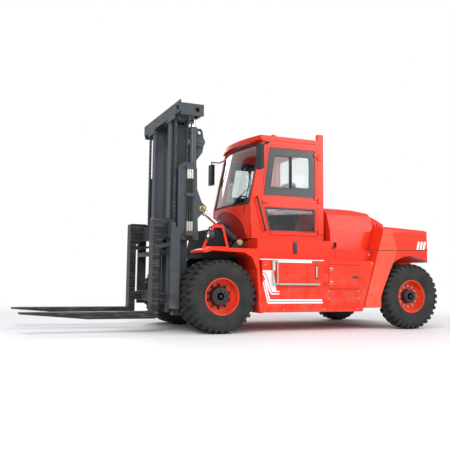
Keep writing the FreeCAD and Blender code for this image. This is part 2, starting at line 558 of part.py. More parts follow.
# Outer mast: two channel uprights open inwards, cross members, feet on the pivot pins, and side
# plates that carry the lift cylinders, the tilt pins, a hose pulley and a lifting eye.
mast = []
wings = []
for side, tag in ((1, "left"), (-1, "right")):
    low, high = sided(side, "rail_out - rail_web", "rail_out")
    mast.append(box("rail_web_" + tag, ("rail_back", "rail_back + rail_deep"), (low, high), ("rail_foot", "outer_top")))
    low, high = sided(side, "rail_out - rail_wide", "rail_out - 2")
    mast.append(box("rail_rear_" + tag, ("rail_back", "rail_back + rail_flange"), (low, high),
                    ("rail_foot", "outer_top")))
    mast.append(box("rail_front_" + tag, ("rail_back + rail_deep - rail_flange", "rail_back + rail_deep"),
                    (low, high), ("rail_foot", "outer_top")))
    low, high = sided(side, "rail_out - 70", "rail_out")
    foot = slab("foot_" + tag, "xz", [
        ("rail_back + 10", "pivot_z - 190"),
        ("rail_back + 10", "pivot_z + 260"),
        ("pivot_x - 10", "pivot_z + 78"),
        ("pivot_x - 66", "pivot_z + 40"),
        ("pivot_x - 74", "pivot_z - 20"),
        ("pivot_x - 30", "pivot_z - 74"),
    ], low, high)
    bore = rod("foot_bore_" + tag, "y", "pivot_pin + running", "-1200", "1200", "pivot_x", "pivot_z")
    mast.append(cut("foot_bored_" + tag, foot, [bore]))
    # Side plate with its rear edge curving back to the tilt pin and, higher, to the lifting eye.
    low, high = sided(side, "wing_out - wing_thick", "wing_out")
    plate = slab("wing_" + tag, "xz", [
        ("rail_back + rail_deep", "wing_low"),
        ("rail_back + rail_deep + 20", "wing_low + 60"),
        ("rail_back + rail_deep + 20", "wing_low + 1080"),
        ("rail_back + rail_deep - 60", "wing_low + 1140"),
        ("rail_back - 20", "wing_low + 1160"),
        ("rail_back - 70", "wing_low + 1060"),
        ("rail_back - 76", "wing_low + 760"),
        ("tilt_mx + 14", "tilt_mz + 96"),
        ("tilt_mx - 58", "tilt_mz + 34"),
        ("tilt_mx - 58", "tilt_mz - 34"),
        ("tilt_mx - 10", "tilt_mz - 64"),
        ("rail_back - 92", "tilt_mz - 150"),
        ("rail_back - 104", "wing_low"),
    ], low, high)
    wings.append(plate)
    low, high = sided(side, "tilt_y - 90 + 20", "tilt_y - 50")
    wings.append(slab("tilt_lug_" + tag, "xz", [
        ("rail_back + 4", "tilt_mz - 150"),
        ("rail_back + 4", "tilt_mz + 150"),
        ("tilt_mx", "tilt_mz + 60"),
        ("tilt_mx - 56", "tilt_mz + 34"),
        ("tilt_mx - 56", "tilt_mz - 34"),
        ("tilt_mx", "tilt_mz - 60"),
    ], low, high))
    low, high = sided(side, "rail_out", "tilt_y - 50")
    wings.append(box("tilt_lug_root_" + tag, ("rail_back + 4", "rail_back + 60"), (low, high),
                    ("tilt_mz - 150", "tilt_mz + 150")))
    low, high = sided(side, "tilt_y - 88", "wing_out + 12")
    wings.append(rod("tilt_front_pin_" + tag, "y", "tilt_pin", low, high, "tilt_mx", "tilt_mz"))
    # Shelf under the lift cylinder and the bridges that join the plate to the upright.
    low, high = sided(side, "rail_out", "wing_out")
    wings.append(box("wing_shelf_" + tag, ("rail_back - 104", "rail_back + rail_deep"), (low, high),
                    ("wing_low", "wing_low + 30")))
    wings.append(box("wing_bridge_" + tag, ("rail_back + rail_deep - 60", "rail_back + rail_deep"), (low, high),
                    ("wing_low + 1060", "wing_low + 1090")))
    low, high = sided(side, "cyl_y - chain_wide / 2 + 2", "cyl_y + chain_wide / 2 - 2")
    anchor = "inner_front - sheave_r * 2 - chain_deep * 2 - 6"
    wings.append(box("chain_post_" + tag, (anchor, anchor + " + chain_deep + 12"), (low, high),
                    ("wing_low + 20", "wing_low + 150")))
    # Lift cylinder barrel standing on the shelf.
    mid = "cyl_y" if side > 0 else "-cyl_y"
    barrel = rod("lift_barrel_" + tag, "z", "cyl_r", "wing_low + 20", "outer_top - 60", "cyl_x", mid)
    gland = rod("lift_gland_" + tag, "z", "cyl_r + 9", "outer_top - 130", "outer_top - 60", "cyl_x", mid)
    clamp = box("lift_clamp_" + tag, ("rail_back + play", "rail_back + 50"), sided(side, "rail_out", "cyl_y - 20"),
                ("outer_top - 220", "outer_top - 150"))
    bore = rod("lift_bore_" + tag, "z", "rod_r + running", "wing_low + 60", "outer_top", "cyl_x", mid)
    wings.append(cut("lift_bored_" + tag, fuse("lift_blank_" + tag, [barrel, gland, clamp]), [bore]))
    # Rear top plate with the hose pulley's boss and a lifting eye.
    low, high = sided(side, "rail_out - 4", "rail_out + 22")
    top = slab("top_plate_" + tag, "xz", [
        ("rail_back + 6", "outer_top - 720"),
        ("rail_back + 6", "outer_top - 300"),
        ("rail_back - 40", "outer_top - 210"),
        ("rail_back - 110", "outer_top - 150"),
        ("rail_back - 116", "outer_top - 70"),
        ("rail_back - 140", "outer_top - 36"),
        ("rail_back - 190", "outer_top - 36"),
        ("rail_back - 215", "outer_top - 80"),
        ("rail_back - 240", "outer_top - 260"),
        ("rail_back - 216", "outer_top - 400"),
        ("rail_back - 70", "outer_top - 600"),
        ("rail_back - 50", "outer_top - 640"),
    ], low, high)
    low2, high2 = sided(side, "rail_out - 30", "rail_out + 70")
    boss = rod("pulley_" + tag, "y", "78", low2, high2, "rail_back - 160", "outer_top - 250")
    eye = rod("eye_" + tag, "y", "26", "-1200", "1200", "rail_back - 164", "outer_top - 96")
    mast.append(cut("top_plate_eye_" + tag, fuse("top_plate_all_" + tag, [top, boss]), [eye]))
half = "rail_out - rail_web + 4"
mast.append(box("tie_top", ("rail_back - 60", "rail_back + 4"), (neg(half), half), ("outer_top - 180", "outer_top - 20")))
mast.append(box("tie_mid", ("rail_back - 50", "rail_back + 4"), (neg(half), half), ("1480", "1600")))
mast.append(box("tie_low", ("rail_back - 40", "rail_back + 4"), (neg(half), half), ("rail_foot + 40", "rail_foot + 150")))
node(fuse("mast_outer", mast), "mast_outer")

# Hoses on the left side plate: straight runs between two clamp blocks, with steel sleeves.
clamp_y = ("wing_out", "wing_out + 46")
for name, z, tall in (("low", "wing_low + 60", 70), ("mid", "wing_low + 640", 46), ("high", "wing_low + 1040", 60)):
    wings.append(box("hose_clamp_" + name, ("rail_back - 20", "rail_back + 110"), clamp_y, (z, "%s + %d" % (z, tall))))
for k, x in enumerate(("rail_back + 12", "rail_back + 46", "rail_back + 80")):
    wings.append(rod("hose_%d" % k, "z", "13", "wing_low + 90", "wing_low + 1070", x, "wing_out + 24"))
    for end, z in (("low", "wing_low + 125"), ("high", "wing_low + 900")):
        wings.append(rod("sleeve_%s_%d" % (end, k), "z", "16", z, z + " + 145", x, "wing_out + 24"))
node(fuse("mast_wings", wings), "mast_wings")

# Inner mast: uprights nested in the outer ones, crosshead with chain sheaves, lift rods.
inner = []
rail_in = "inner_front - rail_flange"
for side, tag in ((1, "left"), (-1, "right")):
    back = "rail_back + rail_flange + play"
    low, high = sided(side, "inner_web", "inner_web + inner_thick")
    inner.append(box("inner_web_" + tag, (back, "inner_front - 2"), (low, high), ("inner_foot", "head_top - 60")))
    low, high = sided(side, "inner_lip", "inner_lip + inner_wide")
    inner.append(box("inner_front_" + tag, (rail_in, "inner_front"), (low, high), ("inner_foot", "head_top - 60")))
    low, high = sided(side, "inner_lip", "rail_out - rail_web - play * 1.5")
    inner.append(box("inner_rear_" + tag, (back, back + " + rail_flange"), (low, high),
                     ("inner_foot + 190", "head_top - 90")))
    low, high = sided(side, "inner_web + inner_thick - 4", "rail_out - rail_web - play")
    inner.append(rod("inner_roller_" + tag, "y", "rail_deep / 2 - rail_flange - play", low, high,
                     "rail_back + rail_deep / 2", "inner_foot + 90"))
tie_half = "inner_web + 6"
inner.append(box("inner_tie_top", (back, "inner_front - 80"), (neg(tie_half), tie_half),
                 ("head_top - 130", "head_top - 90")))
inner.append(box("inner_tie_low", (back, back + " + 30"), (neg(tie_half), tie_half),
                 ("inner_foot + 260", "inner_foot + 360")))
node(fuse("mast_inner", inner), "mast_inner")

# Crosshead on top of the inner uprights: front plate, box ends, chain sheaves and lift rods.
head = []
sheave_x = "inner_front - sheave_r - chain_deep - seat_gap"
for side, tag in ((1, "left"), (-1, "right")):
    mid = "cyl_y" if side > 0 else "-cyl_y"
    low, high = sided(side, "cyl_y - chain_wide / 2", "cyl_y + chain_wide / 2")
    head.append(rod("sheave_" + tag, "y", "sheave_r", low, high, sheave_x, "lift_z"))
    for k, (a, b) in enumerate((("cyl_y - chain_wide / 2 - 14", "cyl_y - chain_wide / 2"),
                                ("cyl_y + chain_wide / 2", "cyl_y + chain_wide / 2 + 14"))):
        low, high = sided(side, a, b)
        head.append(rod("sheave_cheek_%s_%d" % (tag, k), "y", "sheave_r + 16", low, high, sheave_x, "lift_z"))
    # The chain's stretch over the top of its sheave.
    low, high = sided(side, "cyl_y - chain_wide / 2 + 4", "cyl_y + chain_wide / 2 - 4")
    over = rod("chain_over_" + tag, "y", "sheave_r + chain_deep", low, high, sheave_x, "lift_z")
    under = box("chain_under_" + tag, (sheave_x + " - 200", sheave_x + " + 200"), (low, high), ("lift_z - 200", "lift_z"))
    head.append(cut("chain_wrap_" + tag, over, [under]))
    low, high = sided(side, "cyl_y - chain_wide / 2 - 30", "head_half - 10")
    head.append(rod("sheave_pin_" + tag, "y", "28", low, high, sheave_x, "lift_z"))
    # Box end with a round hole over the lift rod's cap.
    low, high = sided(side, "head_half - 16", "head_half")
    end = box("head_end_" + tag, ("cyl_x - 60", "inner_front + 6"), (low, high), ("head_low - 50", "head_top - 60"))
    ring = rod("head_hole_" + tag, "y", "34", "-1200", "1200", "cyl_x + 40", "head_low + 40")
    head.append(cut("head_end_holed_" + tag, end, [ring]))
    low, high = sided(side, "inner_lip", "head_half")
    head.append(box("head_lid_" + tag, ("cyl_x - 60", "inner_front + 6"), (low, high), ("head_top - 60", "head_top - 44")))
    low, high = sided(side, "cyl_y - 70", "cyl_y + 70")
    head.append(box("rod_cap_" + tag, ("cyl_x - 50", "cyl_x + 50"), (low, high), ("head_top - 130", "head_top - 50")))
    head.append(rod("lift_rod_" + tag, "z", "rod_r", "wing_low + 90", "head_top - 100", "cyl_x", mid))
    low, high = sided(side, "inner_lip", "inner_lip + inner_wide")
    head.append(box("head_pad_" + tag, ("inner_front", "inner_front + 10"), (low, high), ("head_low - 60", "head_top - 40")))
    low, high = sided(side, "inner_lip", "head_half - 240")
    head.append(box("head_gusset_" + tag, ("inner_front + 6", "inner_front + 6 + head_plate"), (low, high),
                    ("head_low - 60", "head_low + 10")))
plate = box("head_plate_sheet", ("inner_front + 6", "inner_front + 6 + head_plate"), (neg("head_half"), "head_half"),
            ("head_low", "head_top"))
port = box("head_port", ("inner_front", "inner_front + 30"), ("head_half - 170", "head_half - 60"),
           ("head_low + 45", "head_top - 65"))
head.append(cut("head_plate_cut", plate, [port]))
head.append(box("head_rear_bar", ("cyl_x - 60", "cyl_x - 30"), (neg("head_half"), "head_half"),
                ("head_top - 200", "head_top - 60")))
node(fuse("crosshead", head), "crosshead")

# Leaf chains: the front strands hang to the carriage, the rear strands to the outer mast.
rear_x = "inner_front - sheave_r * 2 - chain_deep * 2 - seat_gap * 2"
fronts = []
rears = []
for side, tag in ((1, "left"), (-1, "right")):
    low, high = sided(side, "cyl_y - chain_wide / 2 + 4", "cyl_y + chain_wide / 2 - 4")
    fronts.append(box("chain_front_" + tag, ("inner_front - chain_deep", "inner_front"), (low, high),
                      ("carr_top - 110", "lift_z")))
    rears.append(box("chain_rear_" + tag, (rear_x, rear_x + " + chain_deep"), (low, high),
                     ("wing_low + 150", "lift_z")))
node(fuse("chains_front", fronts), "chains_front")
node(fuse("chains_rear", rears), "chains_rear")

# Carriage: two bars, end plates, roller plates inside the uprights, chain anchors.
bars = [
    box("bar_upper", ("carr_front - carr_deep", "carr_front"), (neg("carr_half"), "carr_half"),
        ("carr_top - bar_high", "carr_top")),
    box("bar_lower", ("carr_front - carr_deep", "carr_front"), (neg("carr_half"), "carr_half"),
        ("carr_low + 60", "carr_low + 60 + bar_low")),
]
for side, tag in ((1, "left"), (-1, "right")):
    low, high = sided(side, "carr_half - 46", "carr_half")
    bars.append(box("carr_end_" + tag, ("carr_front - 140", "carr_front"), (low, high), ("carr_low", "carr_end_top")))
    low, high = sided(side, "inner_lip - 96", "inner_lip - 56")
    bars.append(box("roller_plate_" + tag, ("rail_back + rail_deep - 106", "carr_front - carr_deep + 5"), (low, high),
                    ("carr_low + 40", "carr_top - 50")))
    low, high = sided(side, "inner_lip - 60", "inner_web - play")
    for k, z in (("low", "carr_low + 150"), ("high", "carr_top - 130")):
        bars.append(rod("carr_roller_%s_%s" % (k, tag), "y", "68", low, high,
                        "(rail_back + rail_flange + play + rail_flange + inner_front - rail_flange) / 2", z))
    low, high = sided(side, "cyl_y - chain_wide / 2 + 4", "cyl_y + chain_wide / 2 - 4")
    bars.append(box("chain_anchor_" + tag, ("inner_front - chain_deep", "carr_front - 20"), (low, high),
                    ("carr_top - 170", "carr_top - 110")))

# Fork positioners: cylinders between the bars, one rod to each fork.
SHIFT_Z = {"left": "1140", "right": "1250"}
shift = []
for side, tag in ((1, "left"), (-1, "right")):
    low, high = sided(side, "-carr_half + 46", "60")
    tube = rod("shift_tube_" + tag, "y", "38", low, high, "carr_front - 22", SHIFT_Z[tag])
    low, high = sided(side, "-carr_half + 80", "90")
    hole = rod("shift_hole_" + tag, "y", "18 + running", low, high, "carr_front - 22", SHIFT_Z[tag])
    shift.append(cut("shift_barrel_" + tag, tube, [hole]))
node(fuse("carriage", bars + shift), "carriage")

# Forks: shank with an upper hook over the bar, and a blade that tapers to its tip.
for side, tag in ((1, "left"), (-1, "right")):
    low, high = sided(side, "fork_y - fork_w / 2", "fork_y + fork_w / 2")
    fork = slab("fork_shape_" + tag, "xz", [
        ("fork_front - fork_t", "blade_top - fork_t + 40"),
        ("fork_front - fork_t + 40", "blade_top - fork_t"),
        ("fork_tip - 900", "blade_top - fork_t + 4"),
        ("fork_tip", "blade_top - blade_tip"),
        ("fork_tip", "blade_top"),
        ("fork_front + 12", "blade_top"),
        ("fork_front", "blade_top + 12"),
        ("fork_front", "fork_top - 12"),
        ("fork_front - 12", "fork_top"),
        ("carr_front - 40", "fork_top"),
        ("carr_front - carr_deep - 30", "fork_top - 40"),
        ("carr_front - carr_deep - 30", "carr_top - 40"),
        ("carr_front - carr_deep - play", "carr_top - 40"),
        ("carr_front - carr_deep - play", "carr_top + 0.5"),
        ("carr_front + 0.5", "carr_top + 0.5"),
        ("carr_front + 0.5", "carr_top - bar_high"),
        ("fork_front - fork_t", "carr_top - bar_high - 60"),
    ], low, high)
    pad_low, pad_high = sided(side, "fork_y - 70", "fork_y + 70")
    heel = box("fork_pad_" + tag, ("carr_front + 0.5", "fork_front - fork_t + 2"), (pad_low, pad_high),
               ("carr_low + 70", "carr_low + 60 + bar_low - 10"))
    low, high = sided(side, "-130", "fork_y - fork_w / 2 + 10")
    bar = rod("shift_rod_" + tag, "y", "18", low, high, "carr_front - 22", SHIFT_Z[tag])
    low, high = sided(side, "fork_y - fork_w / 2", "fork_y - fork_w / 2 + 40")
    z = SHIFT_Z[tag]
    tab = box("shift_tab_" + tag, ("carr_front - 52", "fork_front - fork_t + 2"), (low, high), (z + " - 34", z + " + 34"))
    node(fuse("fork_" + tag, [fork, heel, bar, tab]), "fork_" + tag)

def hinge(name, x, y, wall, base, z, reach, pin, barrel, tall):
    """One hinge with a vertical pin at x and y. reach is signed towards the door along X; wall and
    base are the outer faces of the door and of its frame. Returns the door's leaf and the rest."""
    turn = "1" if reach > 0 else "-1"
    tube = rod(name + "_tube", "z", barrel, z, "%s + %s" % (z, tall), x, y)
    strap_x = ["%s + %s * (%s - 4)" % (x, turn, barrel), "%s + (%s)" % (x, reach)]
    root_x = ["%s + %s * %s" % (x, turn, pin), "%s - (%s)" % (x, reach)]
    if reach < 0:
        strap_x.reverse()
    else:
        root_x.reverse()
    strap = box(name + "_strap", strap_x, ("%s - 2" % wall, y), (z, "%s + %s" % (z, tall)))
    bore = rod(name + "_bore", "z", "%s + running" % pin, "%s - 5" % z, "%s + %s + 5" % (z, tall), x, y)
    leaf = cut(name + "_leaf", fuse(name + "_blank", [tube, strap]), [bore])
    root = box(name + "_root", root_x, ("%s - 2" % base, "%s + %s" % (y, pin)), ("%s - 1 - %s" % (z, tall), "%s - 1" % z))
    shaft = rod(name + "_shaft", "z", pin, "%s - 1 - %s" % (z, tall), "%s + %s" % (z, tall), x, y)
    return leaf, [root, shaft]


# Side boxes under the doors, slanted behind, with a step on each and a hatch on the left one.
boxes = []
steps = []
for side, tag in ((1, "left"), (-1, "right")):
    low, high = sided(side, "frame_half", "box_out")
    boxes.append(slab("side_box_" + tag, "xz", [
        ("box_front", "box_low + 30"),
        ("box_front", "box_top"),
        ("box_rear_top", "box_top"),
        ("box_rear_low", "box_low"),
        ("box_front - 30", "box_low"),
    ], low, high))
    low, high = sided(side, "box_out", "box_out + 48")
    steps.append(box("step_tread_" + tag, ("step_rear", "-900"), (low, high), ("690", "716")))
    low, high = sided(side, "box_out", "box_out + 30")
    steps.append(box("step_post_" + tag, ("-900", "-880"), (low, high), ("690", "1060")))
    steps.append(box("step_head_" + tag, ("-880", "-820"), (low, high), ("1040", "1060")))
    steps.append(box("step_post2_" + tag, ("-820", "-800"), (low, high), ("690", "1060")))
    steps.append(box("step_foot_" + tag, ("-900", "-800"), (low, high), ("690", "716")))
    low, high = sided(side, "box_out", "box_out + 14")
    boxes.append(slab("sill_rail_" + tag, "xz", [
        ("box_front - 20", "box_low + 4"),
        ("box_front - 20", "box_low + 64"),
        ("box_rear_low + 20", "box_low + 64"),
        ("box_rear_low + 40", "box_low + 4"),
    ], low, high))
leaves = []
for k, z in enumerate(("720", "920")):
    leaf, fixed = hinge("hatch_hinge_%d" % k, "hatch_front + 10", "box_out + 18", "box_out + 9", "box_out + 1",
                        z, -60, "4", "7", "24")
    leaves.append(leaf)
    boxes = boxes + fixed
node(fuse("side_boxes", boxes), "side_boxes")
node(fuse("steps", steps), "steps")
hatch = box("hatch_plate", ("hatch_rear", "hatch_front"), ("box_out + 1", "box_out + 9"), ("640", "1000"))
node(fuse("hatch_all", [hatch] + leaves), "hatch")

# Panels over the side boxes carry the cab and the hood's lower edge.
waist = []
for side, tag in ((1, "left"), (-1, "right")):
    low, high = sided(side, "frame_half - 20", "waist_out")
    waist.append(slab("waist_" + tag, "xz", [
        ("box_front", "frame_top"),
        ("box_front", "waist_top"),
        ("cab_rear - 20", "waist_top"),
        ("cab_rear - 20", "hood_low - 6"),
        ("cw_front + 134", "hood_low - 6"),
        ("box_rear_top - 8", "frame_top"),
    ], low, high))
    for k, x in (("front", "box_front - 160"), ("rear", "cab_rear + 160")):
        low, high = sided(side, "cab_half - 150", "cab_half - 50")
        waist.append(box("cab_mount_%s_%s" % (k, tag), ("%s - 50" % x, "%s + 50" % x), (low, high),
                         ("waist_top", "cab_low")))
node(fuse("waist_panels", waist), "waist_panels")

# Cab: side frames, posts, bowed nose, roof rails and a half-height rear wall.
side_outline = [
    ("box_front", "cab_low"),
    ("cab_front", "cab_waist"),
    ("cab_top_front", "cab_eave"),
    ("cab_rear", "cab_eave"),
    ("cab_rear", "cab_low"),
]
door_hole = [
    ("cab_front - 340", "cab_low + 60"),
    ("cab_front - 180", "cab_waist + 70"),
    ("cab_top_front - 75", "cab_eave - post"),
    ("cab_rear + 110", "cab_eave - post"),
    ("cab_rear + 110", "cab_low + 60"),
]
door_edge = [
    ("cab_front - 340 - door_gap * 1.4", "cab_low + 60 + door_gap"),
    ("cab_front - 180 - door_gap * 1.1", "cab_waist + 70"),
    ("cab_top_front - 75 - door_gap * 1.2", "cab_eave - post - door_gap"),
    ("cab_rear + 110 + door_gap", "cab_eave - post - door_gap"),
    ("cab_rear + 110 + door_gap", "cab_low + 60 + door_gap"),
]
high_pane = [
    ("cab_front - 225", "cab_waist + 150"),
    ("cab_top_front - 115", "cab_eave - post - 50"),
    ("cab_rear + 160", "cab_eave - post - 50"),
    ("cab_rear + 160", "cab_waist + 150"),
]
low_pane = [
    ("cab_front - 330", "cab_low + 130"),
    ("cab_front - 240", "cab_waist - 40"),
    ("cab_rear + 160", "cab_waist - 40"),
    ("cab_rear + 160", "cab_low + 130"),
]
skin = {1: ("cab_half - panel", "cab_half"), -1: ("-cab_half", "-cab_half + panel")}
deep = {1: ("cab_half - panel - 20", "cab_half + 20"), -1: ("-cab_half - 20", "-cab_half + panel + 20")}
cab = [
    cut("cab_side_left", slab("cab_side_left_sheet", "xz", side_outline, *skin[1]),
        [slab("cab_door_hole", "xz", door_hole, *deep[1])]),
    cut("cab_side_right", slab("cab_side_right_sheet", "xz", side_outline, *skin[-1]),
        [slab("cab_right_high", "xz", high_pane, *deep[-1]), slab("cab_right_low", "xz", low_pane, *deep[-1])]),
]
for side, tag in ((1, "left"), (-1, "right")):
    low, high = sided(side, "cab_half - post", "cab_half - panel + 2")
    cab.append(slab("front_post_" + tag, "xz", [
        ("box_front", "cab_low"),
        ("cab_front", "cab_waist"),
        ("cab_top_front", "cab_eave"),
        ("cab_top_front - post", "cab_eave"),
        ("cab_front - post", "cab_waist"),
        ("box_front - post", "cab_low"),
    ], low, high))
    low, high = sided(side, "cab_half - post", "cab_half")
    cab.append(box("rear_post_" + tag, ("cab_rear", "cab_rear + 104"), (low, high), ("cab_low", "roof_top + 105")))
inside = "cab_half - post + 4"
cab.append(box("front_header", ("cab_top_front - post", "cab_top_front - 10"), (neg(inside), inside),
               ("cab_eave - 50", "cab_eave")))
cab.append(box("rear_header", ("cab_rear", "cab_rear + 60"), (neg(inside), inside), ("cab_eave - post", "cab_eave")))
cab.append(box("rear_wall", ("cab_rear", "cab_rear + panel"), (neg(inside), inside), ("cab_low", "cab_waist + 60")))
BOW = 118


def bowed(name, x_side, half, thick, z_low, height, lean):
    """A wall bowed forwards in plan, rising along a leaning line."""
    body = doc.addObject("PartDesign::Body", name)
    sk = sketch_on(body, name + "_plan", "xy", z_low)
    h = num(half)
    x = num(x_side)
    t = num(thick)
    sk.addGeometry(Part.Arc(V(x, -h, 0), V(x + BOW, 0, 0), V(x, h, 0)), False)
    sk.addGeometry(Part.LineSegment(V(x, h, 0), V(x - t, h, 0)), False)
    sk.addGeometry(Part.Arc(V(x - t, -h, 0), V(x - t + BOW, 0, 0), V(x - t, h, 0)), False)
    sk.addGeometry(Part.LineSegment(V(x - t, -h, 0), V(x, -h, 0)), False)
    pad = body.newObject("PartDesign::Pad", name + "_pad")
    pad.Profile = sk
    rise = num(height)
    if lean:
        pad.UseCustomVector = True
        pad.Direction = V(lean, 0, rise)
        pad.AlongSketchNormal = True
        pad.Length = rise
    else:
        pad.setExpression("Length", ex(height))
    body.Tip = pad
    body.setExpression(".Placement.Base.x", ex("axle_x"))
    return body


cab.append(bowed("cab_nose", "cab_front - 4", inside, "panel", "cab_low", "cab_waist - cab_low - 4", 0))
cab.append(box("cab_floor", ("cab_rear + panel - 2", "box_front - 20"), ("-cab_half + panel - 2", "cab_half - panel + 2"),
               ("cab_low", "cab_low + 30")))
leaves = []
for k, z in enumerate(("cab_low + 150", "cab_waist + 120", "cab_eave - 200")):
    leaf, fixed = hinge("door_hinge_%d" % k, "cab_rear + 104", "cab_half + 18", "cab_half", "cab_half", z, 70, "8", "13", "45")
    leaves.append(leaf)
    cab = cab + fixed
node(fuse("cab_frame", cab), "cab_frame")

# Roof: a panel bowed in front like the windshield, standing on the side frames.
body = doc.addObject("PartDesign::Body", "roof_body")
sk = sketch_on(body, "roof_plan", "xy", "cab_eave")
x_f = num("cab_top_front + 40")
x_r = num("cab_rear + 106")
w = num("cab_half + 12")
sk.addGeometry(Part.Arc(V(x_f, -w, 0), V(x_f + BOW, 0, 0), V(x_f, w, 0)), False)
sk.addGeometry(Part.LineSegment(V(x_f, w, 0), V(x_r, w, 0)), False)
sk.addGeometry(Part.LineSegment(V(x_r, w, 0), V(x_r, -w, 0)), False)
sk.addGeometry(Part.LineSegment(V(x_r, -w, 0), V(x_f, -w, 0)), False)
pad = body.newObject("PartDesign::Pad", "roof_pad")
pad.Profile = sk
pad.setExpression("Length", ex("roof_top - cab_eave"))
body.Tip = pad
body.setExpression(".Placement.Base.x", ex("axle_x"))
tail = box("roof_tail", ("cab_rear", "cab_rear + 108"), ("-cab_half + post + 1", "cab_half - post - 1"),
           ("cab_eave", "roof_top"))
node(fuse("cab_roof", [body, tail]), "cab_roof")

# Windows of the cab.
panes = [
    bowed("windshield", "cab_front - 12", "cab_half - post - 1", "glass_t", "cab_waist", "cab_eave - cab_waist - 52",
          num("(cab_top_front - cab_front) * (cab_eave - cab_waist - 52) / (cab_eave - cab_waist)")),
    slab("pane_right_high", "xz", high_pane, "-cab_half + 12", "-cab_half + 12 + glass_t"),
    slab("pane_right_low", "xz", low_pane, "-cab_half + 12", "-cab_half + 12 + glass_t"),
    box("pane_rear", ("cab_rear + 12", "cab_rear + 12 + glass_t"), ("-cab_half + post", "cab_half - post"),
        ("cab_waist + 60", "cab_eave - post")),
]
node(fuse("cab_windows", panes), "cab_windows")

# Door with its two panes.
door = cut("cab_door_sheet", slab("cab_door_plate", "xz", door_edge, *skin[1]),
           [slab("cab_door_high", "xz", high_pane, *deep[1]), slab("cab_door_low", "xz", low_pane, *deep[1])])
handle = box("door_handle", ("cab_front - 290", "cab_front - 200"), ("cab_half - 2", "cab_half + 26"),
             ("cab_waist + 22", "cab_waist + 44"))
node(fuse("cab_door", [door, handle] + leaves), "cab_door")
node(fuse("door_windows", [
    slab("pane_door_high", "xz", high_pane, "cab_half - 12 - glass_t", "cab_half - 12"),
    slab("pane_door_low", "xz", low_pane, "cab_half - 12 - glass_t", "cab_half - 12"),
]), "door_windows")

# Operator's place: console, column, wheel, seat.
console = slab("console", "xz", [
    ("cab_front - 70", "cab_low + 30"),
    ("cab_front - 40", "cab_waist - 20"),
    ("cab_front - 130", "cab_waist + 30"),
    ("cab_front - 230", "cab_waist - 60"),
    ("cab_front - 200", "cab_low + 30"),
], "-300", "300")
ring = doc.addObject("Part::Torus", "steering_ring")
ring.Placement = FreeCAD.Placement(V(), FreeCAD.Rotation(V(0, 1, 0), -35))
ring.Radius1 = 170
ring.Radius2 = 14
place(ring, "cab_front - 330", "0", "cab_waist + 110")
column = doc.addObject("Part::Cylinder", "steering_column")
column.Radius = 24
column.Height = 230
column.Placement = FreeCAD.Placement(V(), FreeCAD.Rotation(V(0, 1, 0), -35))
place(column, "cab_front - 198", "0", "cab_waist - 78")
spoke = doc.addObject("Part::Box", "steering_spoke")
spoke.Length = 30
spoke.Width = 340
spoke.Height = 14
spoke.Placement = FreeCAD.Placement(V(), FreeCAD.Rotation(V(0, 1, 0), -35))
place(spoke, "cab_front - 342", "-170", "cab_waist + 95")
seat_x = "cab_rear + 420"
node(fuse("cab_fittings", [
    console,
    ring,
    column,
    spoke,
    box("seat_box", ("%s - 210" % seat_x, "%s + 210" % seat_x), ("-220", "220"), ("cab_low + 30", "cab_low + 330")),
    box("seat_pan", ("%s - 250" % seat_x, "%s + 250" % seat_x), ("-255", "255"), ("cab_low + 330", "cab_low + 350")),
    box("seat_spine", ("%s - 262" % seat_x, "%s - 244" % seat_x), ("-200", "200"), ("cab_low + 330", "cab_low + 900")),
    box("arm_left", ("%s - 60" % seat_x, "%s + 200" % seat_x), ("262", "330"), ("cab_low + 480", "cab_low + 540")),
    box("arm_left_post", ("%s - 40" % seat_x, "%s" % seat_x), ("250", "300"), ("cab_low + 335", "cab_low + 490")),
    box("arm_right", ("%s - 60" % seat_x, "%s + 200" % seat_x), ("-330", "-262"), ("cab_low + 480", "cab_low + 540")),
    box("arm_right_post", ("%s - 40" % seat_x, "%s" % seat_x), ("-300", "-250"), ("cab_low + 335", "cab_low + 490")),
]), "cab_fittings")
node(fuse("seat_cushion", [
    box("cushion_low", ("%s - 240" % seat_x, "%s + 250" % seat_x), ("-240", "240"), ("cab_low + 350", "cab_low + 450")),
    box("cushion_back", ("%s - 244" % seat_x, "%s - 130" % seat_x), ("-225", "225"),
        ("cab_low + 450.5", "cab_low + 1010")),
]), "seat_cushion")

# Hood: crowned shell over the engine with a narrower tail over the counterweight.
crest = "(hood_front + cw_front) / 2"
profile = [
    ("hood_front - 60", "hood_low"),
    ("hood_front", "hood_low + 110"),
    ("hood_front", "hood_top"),
    (crest, "hood_top - 12"),
    ("cw_front + play", "hood_top - 82"),
    ("cw_front + play", "cw_top"),
    ("cw_front + play + (cw_toe - cw_front) * (cw_top - hood_low) / (cw_top - cw_low)", "hood_low"),
]
section = [
    (neg("hood_half"), "hood_low"),
    (neg("hood_half - 20"), "hood_low + 300"),
    (neg("hood_half - 110"), "hood_top - 140"),
    (neg("hood_half - 250"), "hood_top - 34"),
    (neg("hood_half - 520"), "hood_top + 12"),
    ("hood_half - 520", "hood_top + 12"),
    ("hood_half - 250", "hood_top - 34"),
    ("hood_half - 110", "hood_top - 140"),
    ("hood_half - 20", "hood_low + 300"),
    ("hood_half", "hood_low"),
]
inner_profile = [
    ("hood_front - hood_skin", "hood_low - 10"),
    ("hood_front - hood_skin", "hood_top - hood_skin"),
    (crest, "hood_top - 12 - hood_skin"),
    ("cw_front - 10", "hood_top - 82 - hood_skin"),
    ("cw_front - 10", "hood_low - 10"),
]
